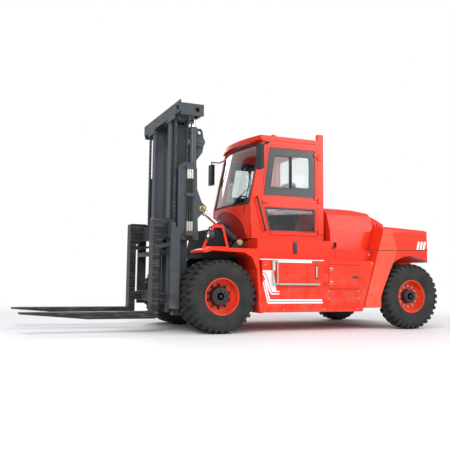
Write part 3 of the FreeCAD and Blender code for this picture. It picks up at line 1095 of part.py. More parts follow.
inner_section = [
    (neg("hood_half - hood_skin"), "hood_low - 10"),
    (neg("hood_half - 20 - hood_skin"), "hood_low + 290"),
    (neg("hood_half - 110 - hood_skin"), "hood_top - 158"),
    (neg("hood_half - 250 - hood_skin * 0.5"), "hood_top - 34 - hood_skin"),
    (neg("hood_half - 520"), "hood_top + 12 - hood_skin"),
    ("hood_half - 520", "hood_top + 12 - hood_skin"),
    ("hood_half - 250 - hood_skin * 0.5", "hood_top - 34 - hood_skin"),
    ("hood_half - 110 - hood_skin", "hood_top - 158"),
    ("hood_half - 20 - hood_skin", "hood_low + 290"),
    ("hood_half - hood_skin", "hood_low - 10"),
]


def common(name, a, b):
    obj = doc.addObject("Part::Common", name)
    obj.Base = a
    obj.Tool = b
    return obj


outside = common("hood_outside", slab("hood_profile", "xz", profile, neg("hood_half + 5"), "hood_half + 5"),
                 slab("hood_section", "yz", section, "cw_front - 40", "hood_front + 40"))
hollow = common("hood_hollow", slab("hood_in_profile", "xz", inner_profile, neg("hood_half"), "hood_half"),
                slab("hood_in_section", "yz", inner_section, "cw_front - 60", "hood_front + 20"))
shell = cut("hood_shell", outside, [hollow])
tail_low = "cw_top + 12"
tail_out = slab("hood_tail_out", "xz", [
    ("cw_front + 30", tail_low),
    ("cw_front + 30", "hood_top - 86"),
    ("cw_front - 200", "hood_top - 160"),
    ("cw_front - 370", "hood_top - 250"),
    ("cw_front - 370", tail_low),
], "-hood_half + 250", "hood_half - 250")
tail_in = slab("hood_tail_in", "xz", [
    ("cw_front + 60", "cw_top - 20"),
    ("cw_front + 60", "hood_top - 82 - hood_skin * 1.3"),
    ("cw_front - 200", "hood_top - 160 - hood_skin * 1.3"),
    ("cw_front - 344", "hood_top - 250 - hood_skin"),
    ("cw_front - 344", "cw_top - 20"),
], "-hood_half + 250 + hood_skin", "hood_half - 250 - hood_skin")

# Hood hinge behind the tail: sleeves on the hood turn on a pin held by posts on the casting.
HINGE_X = "cw_front - 395"
HINGE_Z = "cw_top + 32"
sleeves = []
posts = [rod("hood_pin", "y", "12", "-330", "330", HINGE_X, HINGE_Z)]
for side, tag in ((1, "left"), (-1, "right")):
    low, high = sided(side, "120", "205")
    sleeve = rod("hood_sleeve_" + tag, "y", "22", low, high, HINGE_X, HINGE_Z)
    strap = box("hood_strap_" + tag, (HINGE_X, "cw_front - 360"), (low, high), ("cw_top + 20", "cw_top + 44"))
    bore = rod("hood_bore_" + tag, "y", "12 + running", "-400", "400", HINGE_X, HINGE_Z)
    sleeves.append(cut("hood_leaf_" + tag, fuse("hood_leaf_blank_" + tag, [sleeve, strap]), [bore]))
    low, high = sided(side, "215", "255")
    posts.append(box("hood_post_" + tag, (HINGE_X + " - 20", HINGE_X + " + 14"), (low, high), ("cw_top - 60", "cw_top + 46")))
node(fuse("hood", [shell, cut("hood_tail", tail_out, [tail_in])] + sleeves), "hood")

# Counterweight: a casting over the steer axle, arched for the wheels and open under the hood.
weight = slab("weight_profile", "xz", [
    ("cw_toe", "cw_low"),
    ("cw_front", "cw_top"),
    ("-rear_reach + 330", "cw_top - 40"),
    ("-rear_reach + 90", "cw_top - 90"),
    ("-rear_reach", "cw_top - 210"),
    ("-rear_reach", "cw_low + 260"),
    ("-rear_reach + 90", "cw_low + 60"),
    ("-rear_reach + 300", "cw_low + 30"),
    ("-rear_reach + 300", "cw_low"),
], neg("cw_half"), "cw_half")
plan = slab("weight_plan", "xy", [
    ("cw_toe + 20", neg("cw_half")),
    ("cw_toe + 20", "cw_half"),
    ("-rear_reach + 270", "cw_half"),
    ("-rear_reach + 90", "cw_half - 200"),
    ("-rear_reach", "cw_half - 480"),
    ("-rear_reach", neg("cw_half - 480")),
    ("-rear_reach + 90", neg("cw_half - 200")),
    ("-rear_reach + 270", neg("cw_half")),
], "cw_low - 20", "cw_top + 20")
section = slab("weight_section", "yz", [
    (neg("cw_half"), "cw_low - 20"),
    (neg("cw_half"), "cw_top - cw_bevel * 1.6"),
    (neg("cw_half - cw_bevel * 0.4"), "cw_top - cw_bevel * 0.7"),
    (neg("cw_half - cw_bevel"), "cw_top - cw_bevel * 0.2"),
    (neg("cw_half - cw_bevel * 1.8"), "cw_top + 10"),
    ("cw_half - cw_bevel * 1.8", "cw_top + 10"),
    ("cw_half - cw_bevel", "cw_top - cw_bevel * 0.2"),
    ("cw_half - cw_bevel * 0.4", "cw_top - cw_bevel * 0.7"),
    ("cw_half", "cw_top - cw_bevel * 1.6"),
    ("cw_half", "cw_low - 20"),
], "-rear_reach - 20", "cw_toe + 40")
tools = [
    box("weight_under", ("-wheelbase - 335", "cw_toe + 60"), ("-frame_half - 1", "frame_half + 1"),
        ("cw_low - 60", "frame_top")),
    box("weight_bay", ("cw_front - 170", "cw_toe + 60"), ("-frame_half - 1", "frame_half + 1"),
        ("cw_low - 60", "cw_top + 60")),
    box("weight_grille", ("-rear_reach - 10", "-rear_reach + 70"), ("-360", "360"), ("cw_low + 430", "cw_top - 260")),
]
for side, tag in ((1, "left"), (-1, "right")):
    low, high = sided(side, "480", "620")
    tools.append(box("tail_pocket_" + tag, ("-rear_reach - 10", "-rear_reach + 30"), (low, high),
                     ("cw_top - 350", "cw_top - 240")))
    low, high = sided(side, "arch_in", "cw_half + 60")
    tools.append(rod("arch_" + tag, "y", "arch_r - 25", low, high, "-wheelbase - 30", "tyre_r + 38"))
    tools.append(box("arch_low_" + tag, ("-wheelbase - arch_r", "-wheelbase + arch_r - 55"), (low, high),
                     ("cw_low - 60", "tyre_r + 38")))
    tools.append(box("arch_tail_" + tag, ("-rear_reach - 60", "-wheelbase - 30"), (low, high),
                     ("cw_low - 60", "tyre_r + 556")))
    low, high = sided(side, "arch_in", "cw_half - 60")
    tools.append(rod("sweep_" + tag, "y", "sweep_r", low, high, "-wheelbase", "tyre_r"))
    tools.append(box("sweep_low_" + tag, ("-wheelbase", "-wheelbase + sweep_r"), (low, high),
                     ("cw_low - 60", "tyre_r")))
casting = cut("weight_cast", common("weight_solid", common("weight_block", weight, plan), section), tools)
eyes = []
for side, tag in ((1, "left"), (-1, "right")):
    low, high = sided(side, "cw_half - 330", "cw_half - 290")
    eye = slab("weight_eye_" + tag, "xz", [
        ("cw_front - 20", "cw_top - 30"),
        ("cw_front - 28", "cw_top + 50"),
        ("cw_front - 50", "cw_top + 74"),
        ("cw_front - 90", "cw_top + 74"),
        ("cw_front - 112", "cw_top + 50"),
        ("cw_front - 140", "cw_top - 30"),
    ], low, high)
    hole = rod("weight_eye_hole_" + tag, "y", "22", "-1200", "1200", "cw_front - 70", "cw_top + 34")
    eyes.append(cut("weight_eye_holed_" + tag, eye, [hole]))
node(fuse("counterweight", [casting] + eyes + posts), "counterweight")
slats = [box("grille_top", ("-rear_reach + 20", "-rear_reach + 70"), ("-360", "360"), ("cw_top - 290", "cw_top - 260")),
         box("grille_foot", ("-rear_reach + 20", "-rear_reach + 70"), ("-360", "360"), ("cw_low + 430", "cw_low + 460"))]
for side, tag in ((1, "left"), (-1, "right")):
    low, high = sided(side, "330", "360")
    slats.append(box("grille_side_" + tag, ("-rear_reach + 20", "-rear_reach + 70"), (low, high),
                     ("cw_low + 430", "cw_top - 260")))
for k in range(9):
    z = "cw_low + 460 + %d * (cw_top - cw_low - 750) / 10 - 8" % (k + 1)
    slats.append(box("slat_%d" % k, ("-rear_reach + 30", "-rear_reach + 60"), ("-340", "340"), (z, z + " + 16")))
node(fuse("rear_grille", slats), "rear_grille")
node(box("engine", ("cw_front + 50", "hood_front - 35"), ("-frame_half + frame_plate", "frame_half - frame_plate"),
         ("frame_low + 260", "hood_top - 260")), "engine")

# Lamps, beacon, mirrors and rails.
lamps = []
for side, tag in ((1, "left"), (-1, "right")):
    mid = "(fender_out - 233)" if side > 0 else "(-(fender_out - 233))"
    low, high = sided(side, "fender_out - 226", "fender_out - 90")
    eye_y = "(fender_out - 150)" if side > 0 else "(-(fender_out - 150))"
    lamps.append(rod("headlamp_" + tag, "x", "75", "90", "190", eye_y, "fender_top + 190"))
    lamps.append(box("headlamp_arm_" + tag, ("105", "145"), (low, high), ("fender_top + 180", "fender_top + 205")))
    low, high = sided(side, "480", "620")
    lamps.append(box("tail_lamp_" + tag, ("-rear_reach + 1", "-rear_reach + 30"), (low, high),
                     ("cw_top - 350", "cw_top - 240")))
lamps.append(rod("beacon_foot", "z", "62", "roof_top", "roof_top + 22", "cab_front - 560", "430"))
lamps.append(rod("beacon_dome", "z", "54", "roof_top + 20", "roof_top + 105", "cab_front - 560", "430"))
node(fuse("lamps", lamps), "lamps")
rails = []
for side, tag in ((1, "left"), (-1, "right")):
    low, high = sided(side, "cab_half + 150", "cab_half + 300")
    rails.append(box("mirror_" + tag, ("cab_top_front + 130", "cab_top_front + 190"), (low, high), ("2430", "2800")))
    low, high = sided(side, "cab_half", "cab_half + 235")
    rails.append(rod("mirror_arm_" + tag, "y", "12", low, high, "cab_top_front + 15", "2850"))
    y = "(cab_half + 225)" if side > 0 else "(-(cab_half + 225))"
    rails.append(rod("mirror_reach_" + tag, "x", "10.5", "cab_top_front + 5", "cab_top_front + 170", y, "2850"))
    rails.append(rod("mirror_drop_" + tag, "z", "9", "2790", "2850", "cab_top_front + 160", y))
    low, high = sided(side, "cab_half", "cab_half + 52")
    for k, x, z in (("top", "cab_front - 96", "cab_waist + 100"), ("foot", "cab_front - 234", "cab_low + 130")):
        rails.append(rod("rail_%s_%s" % (k, tag), "y", "9", low, high, x, z))
    dx = num("(cab_front - 90) - (cab_front - 240)")
    dz = num("(cab_waist + 120) - (cab_low + 110)")
    bar = doc.addObject("Part::Cylinder", "rail_bar_" + tag)
    bar.Radius = 13
    bar.Height = math.hypot(dx, dz)
    bar.Placement = FreeCAD.Placement(V(), FreeCAD.Rotation(V(0, 1, 0), math.degrees(math.atan2(dx, dz))))
    place(bar, "cab_front - 240", "cab_half + 44" if side > 0 else "-(cab_half + 44)", "cab_low + 110")
    rails.append(bar)
node(fuse("mirrors_rails", rails), "mirrors_rails")

failed = []
doc.recompute()
for obj in doc.Objects:
    if "Invalid" in obj.State or "Error" in obj.State:
        failed.append(obj.Name)
for obj in nodes:
    if obj.Shape.isNull() or not obj.Shape.isValid():
        failed.append(obj.Label)
if failed:
    raise SystemExit("failed: " + ", ".join(failed))
for obj in nodes:
    obj.Shape.exportStep("parts/%s.step" % obj.Label)
    print(obj.Label, len(obj.Shape.Solids), "solids", round(obj.Shape.Volume / 1e9, 4), "m3")
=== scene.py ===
# %% [markdown]
# # A heavy diesel forklift, dressed for its picture
# The truck lifts containers and timber: a tilting two-stage mast in front, a glazed cab over the
# steps, an engine under a sloping hood, and a cast counterweight over the steered wheels. The
# structure comes ready made, so this file only adds what the eye looks for: paint, rubber, glass,
# tread, nuts, seams, chain links, lamps and a soft seat.

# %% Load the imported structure
import math
import bmesh
import bpy
from mathutils import Matrix, Vector


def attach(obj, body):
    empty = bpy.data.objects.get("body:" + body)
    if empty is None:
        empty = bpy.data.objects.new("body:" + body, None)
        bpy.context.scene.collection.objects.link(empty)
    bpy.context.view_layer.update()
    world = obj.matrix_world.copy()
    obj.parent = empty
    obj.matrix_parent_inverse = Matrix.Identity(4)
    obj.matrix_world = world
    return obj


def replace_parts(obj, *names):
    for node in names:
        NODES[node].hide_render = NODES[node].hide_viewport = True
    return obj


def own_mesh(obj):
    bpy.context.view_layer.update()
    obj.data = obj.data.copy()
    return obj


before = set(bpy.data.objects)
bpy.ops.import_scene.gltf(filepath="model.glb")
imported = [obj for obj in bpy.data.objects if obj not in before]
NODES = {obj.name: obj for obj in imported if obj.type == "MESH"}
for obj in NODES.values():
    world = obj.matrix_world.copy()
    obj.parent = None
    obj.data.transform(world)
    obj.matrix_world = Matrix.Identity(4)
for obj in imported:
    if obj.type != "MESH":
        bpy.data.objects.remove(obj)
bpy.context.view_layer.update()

# %% [markdown]
# ## Where things are
# The drive axle is the place that a mechanic measures from, so every distance below is counted
# from the floor under it, and one shift turns those numbers into the scene's own frame. Working
# with a second origin costs one addition, and saves working out every place by hand.

# %% Places counted from the drive axle
AXLE_X = 0.625            # the drive axle in the scene's frame
WHEELBASE = 3.33
WHEEL_Z = 0.522           # height of all wheel centres, which is also the tyre's radius


def at(x, y, z):
    """A point counted from the floor under the drive axle, in the scene's frame."""
    return Vector((x + AXLE_X, y, z))


print("drive axle at", tuple(at(0, 0, WHEEL_Z)))

# %% [markdown]
# ## The camera
# The photographer stood low and well back, near the left front corner. Six numbers put a camera
# there: a place, a heading, an upward tilt and a slight lean. A matrix built from the three
# directions of the view is clearer than Euler angles, because each column can be read on its own.

# %% Camera at the photograph's angle
CAMERA_PLACE = (4.0458, 9.1114, 0.8289)
CAMERA_LENS = 48.744      # mm, behind a sensor 36 mm wide
CAMERA_SHIFT = (0.02884, -0.03244)
heading, tilt_up, lean = math.radians(22.1671), math.radians(6.018), math.radians(0.7628)
forward = Vector((-math.sin(heading) * math.cos(tilt_up),
                  -math.cos(heading) * math.cos(tilt_up), math.sin(tilt_up)))
level_right = Vector((-math.cos(heading), math.sin(heading), 0))
level_up = level_right.cross(forward)
right = level_right * math.cos(lean) + level_up * math.sin(lean)
up = level_up * math.cos(lean) - level_right * math.sin(lean)

camera = bpy.data.objects.new("camera", bpy.data.cameras.new("camera"))
bpy.context.scene.collection.objects.link(camera)
camera.matrix_world = Matrix((
    (right.x, up.x, -forward.x, CAMERA_PLACE[0]),
    (right.y, up.y, -forward.y, CAMERA_PLACE[1]),
    (right.z, up.z, -forward.z, CAMERA_PLACE[2]),
    (0, 0, 0, 1)))
camera.data.sensor_width = 36
camera.data.lens = CAMERA_LENS
camera.data.shift_x, camera.data.shift_y = CAMERA_SHIFT
bpy.context.scene.camera = camera
print("camera looks along", tuple(round(v, 3) for v in forward))

# %% [markdown]
# ## A bright studio
# A picture for a catalogue has a white ground and soft light from all sides. The world gives most
# of it, and three large lamps give the paint something to shine in. The floor is a disc that fades
# out towards its edge, which hides the horizon and still takes the truck's shadow.

# %% The world and three lamps
SKY_STRENGTH = 0.62
LAMP_SIZE = 5.0
LAMPS = (
    # name, place, the point it shines on, watts
    ("key", (5.5, 7.5, 6.5), (0, 0, 1.2), 620),
    ("fill", (-6.0, 7.0, 5.0), (-1, 0, 1.2), 330),
    ("back", (-1.0, -8.0, 6.5), (0, 0, 1.5), 300),
)


def node_in(tree, kind, settings=None, **inputs):
    """A shader node with its settings and plain input values."""
    made = tree.nodes.new(kind)
    for key, value in (settings or {}).items():
        setattr(made, key, value)
    for key, value in inputs.items():
        made.inputs[key.replace("_", " ")].default_value = value
    return made


def wire(tree, *pairs):
    """Links outputs to inputs, pair by pair."""
    for output, place in pairs:
        tree.links.new(output, place)


def new_finish(name, **plain):
    """A material, its tree and its shader, with plain values set on the shader itself."""
    material = bpy.data.materials.new(name)
    material.use_nodes = True
    shader = material.node_tree.nodes["Principled BSDF"]
    for key, value in plain.items():
        shader.inputs[key.replace("_", " ")].default_value = value
    return material, material.node_tree, shader


scene = bpy.context.scene
scene.view_settings.view_transform = "Standard"
world = bpy.data.worlds.new("studio")
scene.world = world
world.use_nodes = True
world_tree = world.node_tree
sky = world_tree.nodes["Background"]
sky.inputs["Color"].default_value = (0.93, 0.96, 1.0, 1)
sky.inputs["Strength"].default_value = SKY_STRENGTH
white = node_in(world_tree, "ShaderNodeBackground", Color=(1, 1, 1, 1))
paths = node_in(world_tree, "ShaderNodeLightPath")
seen = node_in(world_tree, "ShaderNodeMath", {"operation": "MAXIMUM"})
choose = node_in(world_tree, "ShaderNodeMixShader")
wire(world_tree,
     (paths.outputs["Is Camera Ray"], seen.inputs[0]),
     (paths.outputs["Is Transmission Ray"], seen.inputs[1]),
     (seen.outputs[0], choose.inputs["Fac"]),
     (sky.outputs[0], choose.inputs[1]),
     (white.outputs[0], choose.inputs[2]),
     (choose.outputs[0], world_tree.nodes["World Output"].inputs["Surface"]))

for name, place, aim, watts in LAMPS:
    lamp = bpy.data.lights.new(name, "AREA")
    lamp.shape, lamp.size, lamp.energy = "SQUARE", LAMP_SIZE, watts
    holder = bpy.data.objects.new(name, lamp)
    scene.collection.objects.link(holder)
    holder.location = place
    holder.rotation_euler = (Vector(aim) - Vector(place)).to_track_quat("-Z", "Y").to_euler()

# %% A floor that fades out
FLOOR_RADIUS = 9
FADE_FROM, FADE_TO = 4.2, 8.5
floor_finish, floor_tree, floor_shader = new_finish(
    "studio_floor", Base_Color=(0.93, 0.93, 0.93, 1), Roughness=0.55, Specular_IOR_Level=0.25)
where = node_in(floor_tree, "ShaderNodeTexCoord")
reach = node_in(floor_tree, "ShaderNodeVectorMath", {"operation": "LENGTH"})
fade = node_in(floor_tree, "ShaderNodeMapRange", {"interpolation_type": "SMOOTHSTEP"},
               From_Min=FADE_FROM, From_Max=FADE_TO)
clear = node_in(floor_tree, "ShaderNodeBsdfTransparent")
blend_out = node_in(floor_tree, "ShaderNodeMixShader")
wire(floor_tree,
     (where.outputs["Object"], reach.inputs[0]),
     (reach.outputs["Value"], fade.inputs["Value"]),
     (fade.outputs["Result"], blend_out.inputs["Fac"]),
     (floor_shader.outputs[0], blend_out.inputs[1]),
     (clear.outputs[0], blend_out.inputs[2]),
     (blend_out.outputs[0], floor_tree.nodes["Material Output"].inputs["Surface"]))
floor_mesh = bpy.data.meshes.new("floor")
rounds = bmesh.new()
bmesh.ops.create_circle(rounds, cap_ends=True, radius=FLOOR_RADIUS, segments=64)
rounds.to_mesh(floor_mesh)
rounds.free()
floor = bpy.data.objects.new("floor", floor_mesh)
scene.collection.objects.link(floor)
floor.data.materials.append(floor_finish)
print("floor", FLOOR_RADIUS, "m, faded from", FADE_FROM, "m")

# %% [markdown]
# ## Paint
# Work paint is never one flat colour: it is sprayed in slightly uneven coats, its surface has a
# fine orange-peel texture, and dust settles low down. One function mixes these from noise, so that
# every painted part ages in the same way. Noise on object coordinates needs no unwrapping and runs
# across neighbouring panels without a seam.

# %% Paint with orange peel and road dust
DUST = (0.30, 0.25, 0.20, 1)
DUST_TOP, DUST_FULL = 1.15, 0.25    # heights between which the dust thickens


def position(tree, scale=(1, 1, 1)):
    """The place on the truck, stretched along its axes, as a socket."""
    spot = node_in(tree, "ShaderNodeTexCoord")
    stretch = node_in(tree, "ShaderNodeMapping", Scale=scale)
    tree.links.new(spot.outputs["Object"], stretch.inputs["Vector"])
    return stretch.outputs["Vector"]


def noise(tree, scale, detail=3.0, stretch=(1, 1, 1)):
    """A noise pattern's socket, from 0 to 1."""
    made = node_in(tree, "ShaderNodeTexNoise", Scale=scale, Detail=detail)
    tree.links.new(position(tree, stretch), made.inputs["Vector"])
    return made.outputs["Fac"]


def ranged(tree, socket, low, high, to_low=0.0, to_high=1.0):
    """A socket's values from low to high, spread to another range and held there."""
    made = node_in(tree, "ShaderNodeMapRange", From_Min=low, From_Max=high,
                   To_Min=to_low, To_Max=to_high)
    tree.links.new(socket, made.inputs["Value"])
    return made.outputs["Result"]


def times(tree, first, second):
    """Two sockets multiplied."""
    made = node_in(tree, "ShaderNodeMath", {"operation": "MULTIPLY"})
    tree.links.new(first, made.inputs[0])
    if isinstance(second, float):
        made.inputs[1].default_value = second
    else:
        tree.links.new(second, made.inputs[1])
    return made.outputs[0]


def mixed(tree, amount, first, second):
    """A colour between two, each a socket or four numbers."""
    made = node_in(tree, "ShaderNodeMix", {"data_type": "RGBA"})
    tree.links.new(amount, made.inputs["Factor"])
    for name, value in (("A", first), ("B", second)):
        socket = [s for s in made.inputs if s.name == name and s.type == "RGBA"][0]
        if isinstance(value, tuple):
            socket.default_value = value
        else:
            tree.links.new(value, socket)
    return [s for s in made.outputs if s.type == "RGBA"][0]


def relief(tree, shader, height, depth, strength=1.0, below=None):
    """Turns a height pattern into bumps on a shader, and gives the normal's socket."""
    made = node_in(tree, "ShaderNodeBump", Distance=depth, Strength=strength)
    tree.links.new(height, made.inputs["Height"])
    if below is not None:
        tree.links.new(below, made.inputs["Normal"])
    tree.links.new(made.outputs["Normal"], shader.inputs["Normal"])
    return made.outputs["Normal"]


def feed(tree, shader, **sockets):
    """Links sockets to inputs of a shader that are named with underscores."""
    wire(tree, *((socket, shader.inputs[key.replace("_", " ")]) for key, socket in sockets.items()))


def shade(colour, factor):
    """A colour made lighter or darker, with full alpha."""
    return tuple(min(1.0, c * factor) for c in colour[:3]) + (1.0,)


def paint(name, colour, roughness=0.36, coat=0.22, dust=0.35, peel=0.0004):
    """Sprayed paint: uneven coats, orange peel, and dust that gathers towards the floor."""
    material, tree, shader = new_finish(
        name, Coat_Weight=coat, Coat_Roughness=0.12, Specular_IOR_Level=0.3)
    coats = ranged(tree, noise(tree, 1.3, 4), 0.3, 0.7)
    colour_socket = mixed(tree, coats, shade(colour, 0.93), shade(colour, 1.05))
    height = node_in(tree, "ShaderNodeSeparateXYZ")
    tree.links.new(position(tree), height.inputs[0])
    low = ranged(tree, height.outputs["Z"], DUST_TOP, DUST_FULL)
    specks = ranged(tree, noise(tree, 7.0, 6), 0.42, 0.72)
    grime = times(tree, times(tree, low, specks), float(dust))
    colour_socket = mixed(tree, grime, colour_socket, DUST)
    feed(tree, shader, Base_Color=colour_socket,
         Roughness=ranged(tree, grime, 0.0, 0.5, roughness, roughness + 0.3))
    relief(tree, shader, noise(tree, 160.0, 2), peel, 0.35)
    return material


BODY = (0.80, 0.030, 0.006)
body_paint = paint("body_paint", BODY)
mast_paint = paint("mast_paint", (0.060, 0.070, 0.080), 0.42, 0.15, 0.25)
carriage_paint = paint("carriage_paint", (0.052, 0.060, 0.068), 0.45, 0.1, 0.3)
rim_paint = paint("rim_paint", (0.82, 0.045, 0.008), 0.38, 0.25, 0.45)
dark_paint = paint("dark_paint", (0.022, 0.024, 0.027), 0.5, 0.05, 0.4)
# White for the stripes, and for a painted highlight along the ledge.
white_paint = paint("stripe_and_highlight_paint", (0.86, 0.87, 0.88), 0.4, 0.2, 0.2, 0.0002)
print("paints", [m.name for m in bpy.data.materials if m.name.endswith("_paint")])

# %% [markdown]
# ## Steel, rubber, glass and plastic
# Forks are rolled steel that scrapes along pallets, so their black is rubbed bright in streaks that
# run lengthwise: the noise is squeezed across and pulled along the blade. Rods are hard chrome.
# Rubber is matt and mottled, glass is clear with a faint grey tint, and plastic has a fine grain.

# %% Bare metal finishes
def worn_steel(name, dark, bright, stretch, rub=(0.52, 0.68), roughness=0.45):
    """Blackened steel rubbed bright along streaks."""
    material, tree, shader = new_finish(name)
    streaks = ranged(tree, noise(tree, 9.0, 7, stretch), rub[0], rub[1])
    feed(tree, shader, Base_Color=mixed(tree, streaks, shade(dark, 1), shade(bright, 1)),
         Metallic=ranged(tree, streaks, 0, 1, 0.15, 0.85),
         Roughness=ranged(tree, streaks, 0, 1, roughness, roughness - 0.15))
    relief(tree, shader, noise(tree, 90.0, 4, stretch), 0.0005, 0.4)
    return material


def plated(name, colour, roughness, stretch=(4, 4, 40)):
    """Hard chrome or zinc plating with fine polishing marks."""
    material, tree, shader = new_finish(name, Metallic=1.0)
    marks = noise(tree, 60.0, 3, stretch)
    feed(tree, shader, Base_Color=mixed(tree, marks, shade(colour, 0.88), shade(colour, 1.0)),
         Roughness=ranged(tree, marks, 0.3, 0.7, roughness, roughness + 0.12))
    return material


fork_steel = worn_steel("fork_steel", (0.012, 0.012, 0.013), (0.16, 0.16, 0.165), (0.35, 6, 6))
chain_steel = worn_steel("chain_steel", (0.030, 0.030, 0.032), (0.22, 0.21, 0.20), (6, 6, 6))
engine_steel = worn_steel("engine_steel", (0.05, 0.05, 0.052), (0.2, 0.2, 0.2), (3, 3, 3))
chrome = plated("chrome", (0.78, 0.79, 0.80), 0.10)
zinc = plated("zinc", (0.62, 0.60, 0.52), 0.32, (10, 10, 10))


# %% Rubber, plastic, glass and lamp finishes
def rubber(name, colour=(0.016, 0.016, 0.017), roughness=0.72, grain=70.0):
    """Matt black rubber, mottled, with grey dust in its low spots."""
    material, tree, shader = new_finish(name, Specular_IOR_Level=0.35)
    mottle = ranged(tree, noise(tree, 5.0, 6), 0.35, 0.75)
    feed(tree, shader,
         Base_Color=mixed(tree, mottle, shade(colour, 1), shade((0.045, 0.043, 0.04), 1)),
         Roughness=ranged(tree, mottle, 0, 1, roughness, roughness + 0.18))
    relief(tree, shader, noise(tree, grain, 5), 0.001, 0.35)
    return material


def moulded(name, colour, roughness=0.5):
    """Moulded plastic with a fine leathery grain."""
    material, tree, shader = new_finish(name)
    cells = node_in(tree, "ShaderNodeTexVoronoi", Scale=420.0)
    tree.links.new(position(tree), cells.inputs["Vector"])
    tone = noise(tree, 6.0, 3)
    feed(tree, shader, Base_Color=mixed(tree, tone, shade(colour, 0.85), shade(colour, 1.15)),
         Roughness=ranged(tree, tone, 0.3, 0.7, roughness - 0.05, roughness + 0.08))
    relief(tree, shader, cells.outputs["Distance"], 0.0006, 0.3)
    return material


def clear_glass(name, tint, roughness=0.02, ior=1.45):
    """Window glass or a lens, with a faint smear of dust that dulls it in places."""
    material, tree, shader = new_finish(name, Transmission_Weight=1.0, IOR=ior)
    smear = ranged(tree, noise(tree, 3.0, 5), 0.5, 0.8)
    feed(tree, shader, Base_Color=mixed(tree, smear, shade(tint, 1), shade(tint, 0.93)),
         Roughness=ranged(tree, smear, 0, 1, roughness, roughness + 0.08))
    return material


tyre_rubber = rubber("tyre_rubber")
trim_rubber = rubber("trim_rubber", (0.012, 0.012, 0.013), 0.6, 200.0)
cab_plastic = moulded("cab_plastic", (0.028, 0.029, 0.031))
box_plastic = moulded("box_plastic", (0.035, 0.037, 0.040), 0.45)
window_glass = clear_glass("window_glass", (0.80, 0.84, 0.84))
lens_glass = clear_glass("lens_glass", (0.95, 0.96, 0.97), 0.05)
red_lens = clear_glass("red_lens", (0.75, 0.03, 0.02), 0.08)
amber_lens = clear_glass("amber_lens", (1.0, 0.32, 0.02), 0.10)
print("finishes so far", len(bpy.data.materials))

# %% Put a finish on every ready-made node
DRESS = (
    # finish, nodes that show it
    (tyre_rubber, "drive_tyres_left drive_tyres_right steer_tyre_left steer_tyre_right"),
    (rim_paint, "drive_rims_left drive_rims_right steer_rim_left steer_rim_right"),
    (dark_paint, "chassis_frame drive_axle steer_axle knuckle_left knuckle_right front_deck"),
    (dark_paint, "tilt_barrel_left tilt_barrel_right rear_grille mirrors_rails"),
    (zinc, "steps"),
    (mast_paint, "mast_outer mast_wings mast_inner crosshead"),
    (carriage_paint, "carriage"),
    (fork_steel, "fork_left fork_right"),
    (chrome, "tilt_rod_left tilt_rod_right"),
    (chain_steel, "chains_front chains_rear"),
    (body_paint, "front_fenders side_boxes hatch waist_panels cab_frame cab_roof cab_door"),
    (body_paint, "hood counterweight"),
    (window_glass, "cab_windows door_windows"),
    (cab_plastic, "cab_fittings seat_cushion"),
    (engine_steel, "engine"),
    (red_lens, "lamps"),
)
for finish, names in DRESS:
    for name in names.split():
        dressed = NODES[name]
        if not dressed.material_slots:
            dressed.data.materials.append(finish)
        for place in dressed.material_slots:
            place.material = finish
print("undressed", sorted(set(NODES) - set(" ".join(n for _, n in DRESS).split())))

# %% [markdown]
# ## A small workshop for meshes
# Most added parts are one of four kinds: a block with softened edges, a tube along a path, a shape
# turned on a lathe, or a flat plate with holes. Each is made by one short function that adds it to
# a growing mesh, so that dozens of small things end up as a single piece per moving body. Boolean
# cuts would do it too, but they leave ragged faces, while these come out clean and closed.

# %% Blocks, tubes, turned shapes and plates
def merge(builder, part, finish=0):
    """Adds a closed part to a mesh under construction, with its faces turned outward."""
    bmesh.ops.recalc_face_normals(part, faces=part.faces)
    for face in part.faces:
        face.material_index = finish
        face.smooth = True
    scrap = bpy.data.meshes.new("scrap")
    part.to_mesh(scrap)
    part.free()
    builder.from_mesh(scrap)
    bpy.data.meshes.remove(scrap)


def join(part, first, second):
    """Faces between two rings of as many points."""
    for i in range(len(first)):
        j = (i + 1) % len(first)
        part.faces.new((first[i], first[j], second[j], second[i]))


def skin(part, rings):
    """A closed skin over rings of points, with a face at each end."""
    for first, second in zip(rings, rings[1:]):
        join(part, first, second)
    part.faces.new(rings[0])
    part.faces.new(rings[-1])


def sided(side, low, high):
    """A range across the truck, as given on the left and mirrored on the right."""
    return tuple(sorted((low * side, high * side)))


def block(builder, xs, ys, zs, edge=0.0, finish=0):
    """A box between two corners, with its edges softened."""
    part = bmesh.new()
    bmesh.ops.create_cube(part, size=1.0)
    low, high = at(xs[0], ys[0], zs[0]), at(xs[1], ys[1], zs[1])
    for vert in part.verts:
        vert.co = Vector([(low[i] + high[i]) / 2 + vert.co[i] * (high[i] - low[i])
                          for i in range(3)])
    if edge:
        bmesh.ops.bevel(part, geom=part.edges[:], offset=edge, segments=2, profile=0.5,
                        affect="EDGES", clamp_overlap=True)
    merge(builder, part, finish)


def tube(builder, path, radius, sides=12, finish=0, closed=False):
    """A round bar along a path of points counted from the drive axle."""
    part = bmesh.new()
    spots = [at(*point) for point in path]
    side = None
    rings = []
    for k, spot in enumerate(spots):
        after = spots[(k + 1) % len(spots)] if closed or k + 1 < len(spots) else spot
        before = spots[k - 1] if closed or k else spot
        way = (after - before).normalized()
        if side is None:
            side = way.orthogonal().normalized()
        side = (side - way * side.dot(way)).normalized()
        other = way.cross(side)
        rings.append([part.verts.new(spot + (side * math.cos(a) + other * math.sin(a)) * radius)
                      for a in (2 * math.pi * i / sides for i in range(sides))])
    if closed:
        for k, ring in enumerate(rings):
            join(part, rings[k - 1], ring)
    else:
        skin(part, rings)
    merge(builder, part, finish)


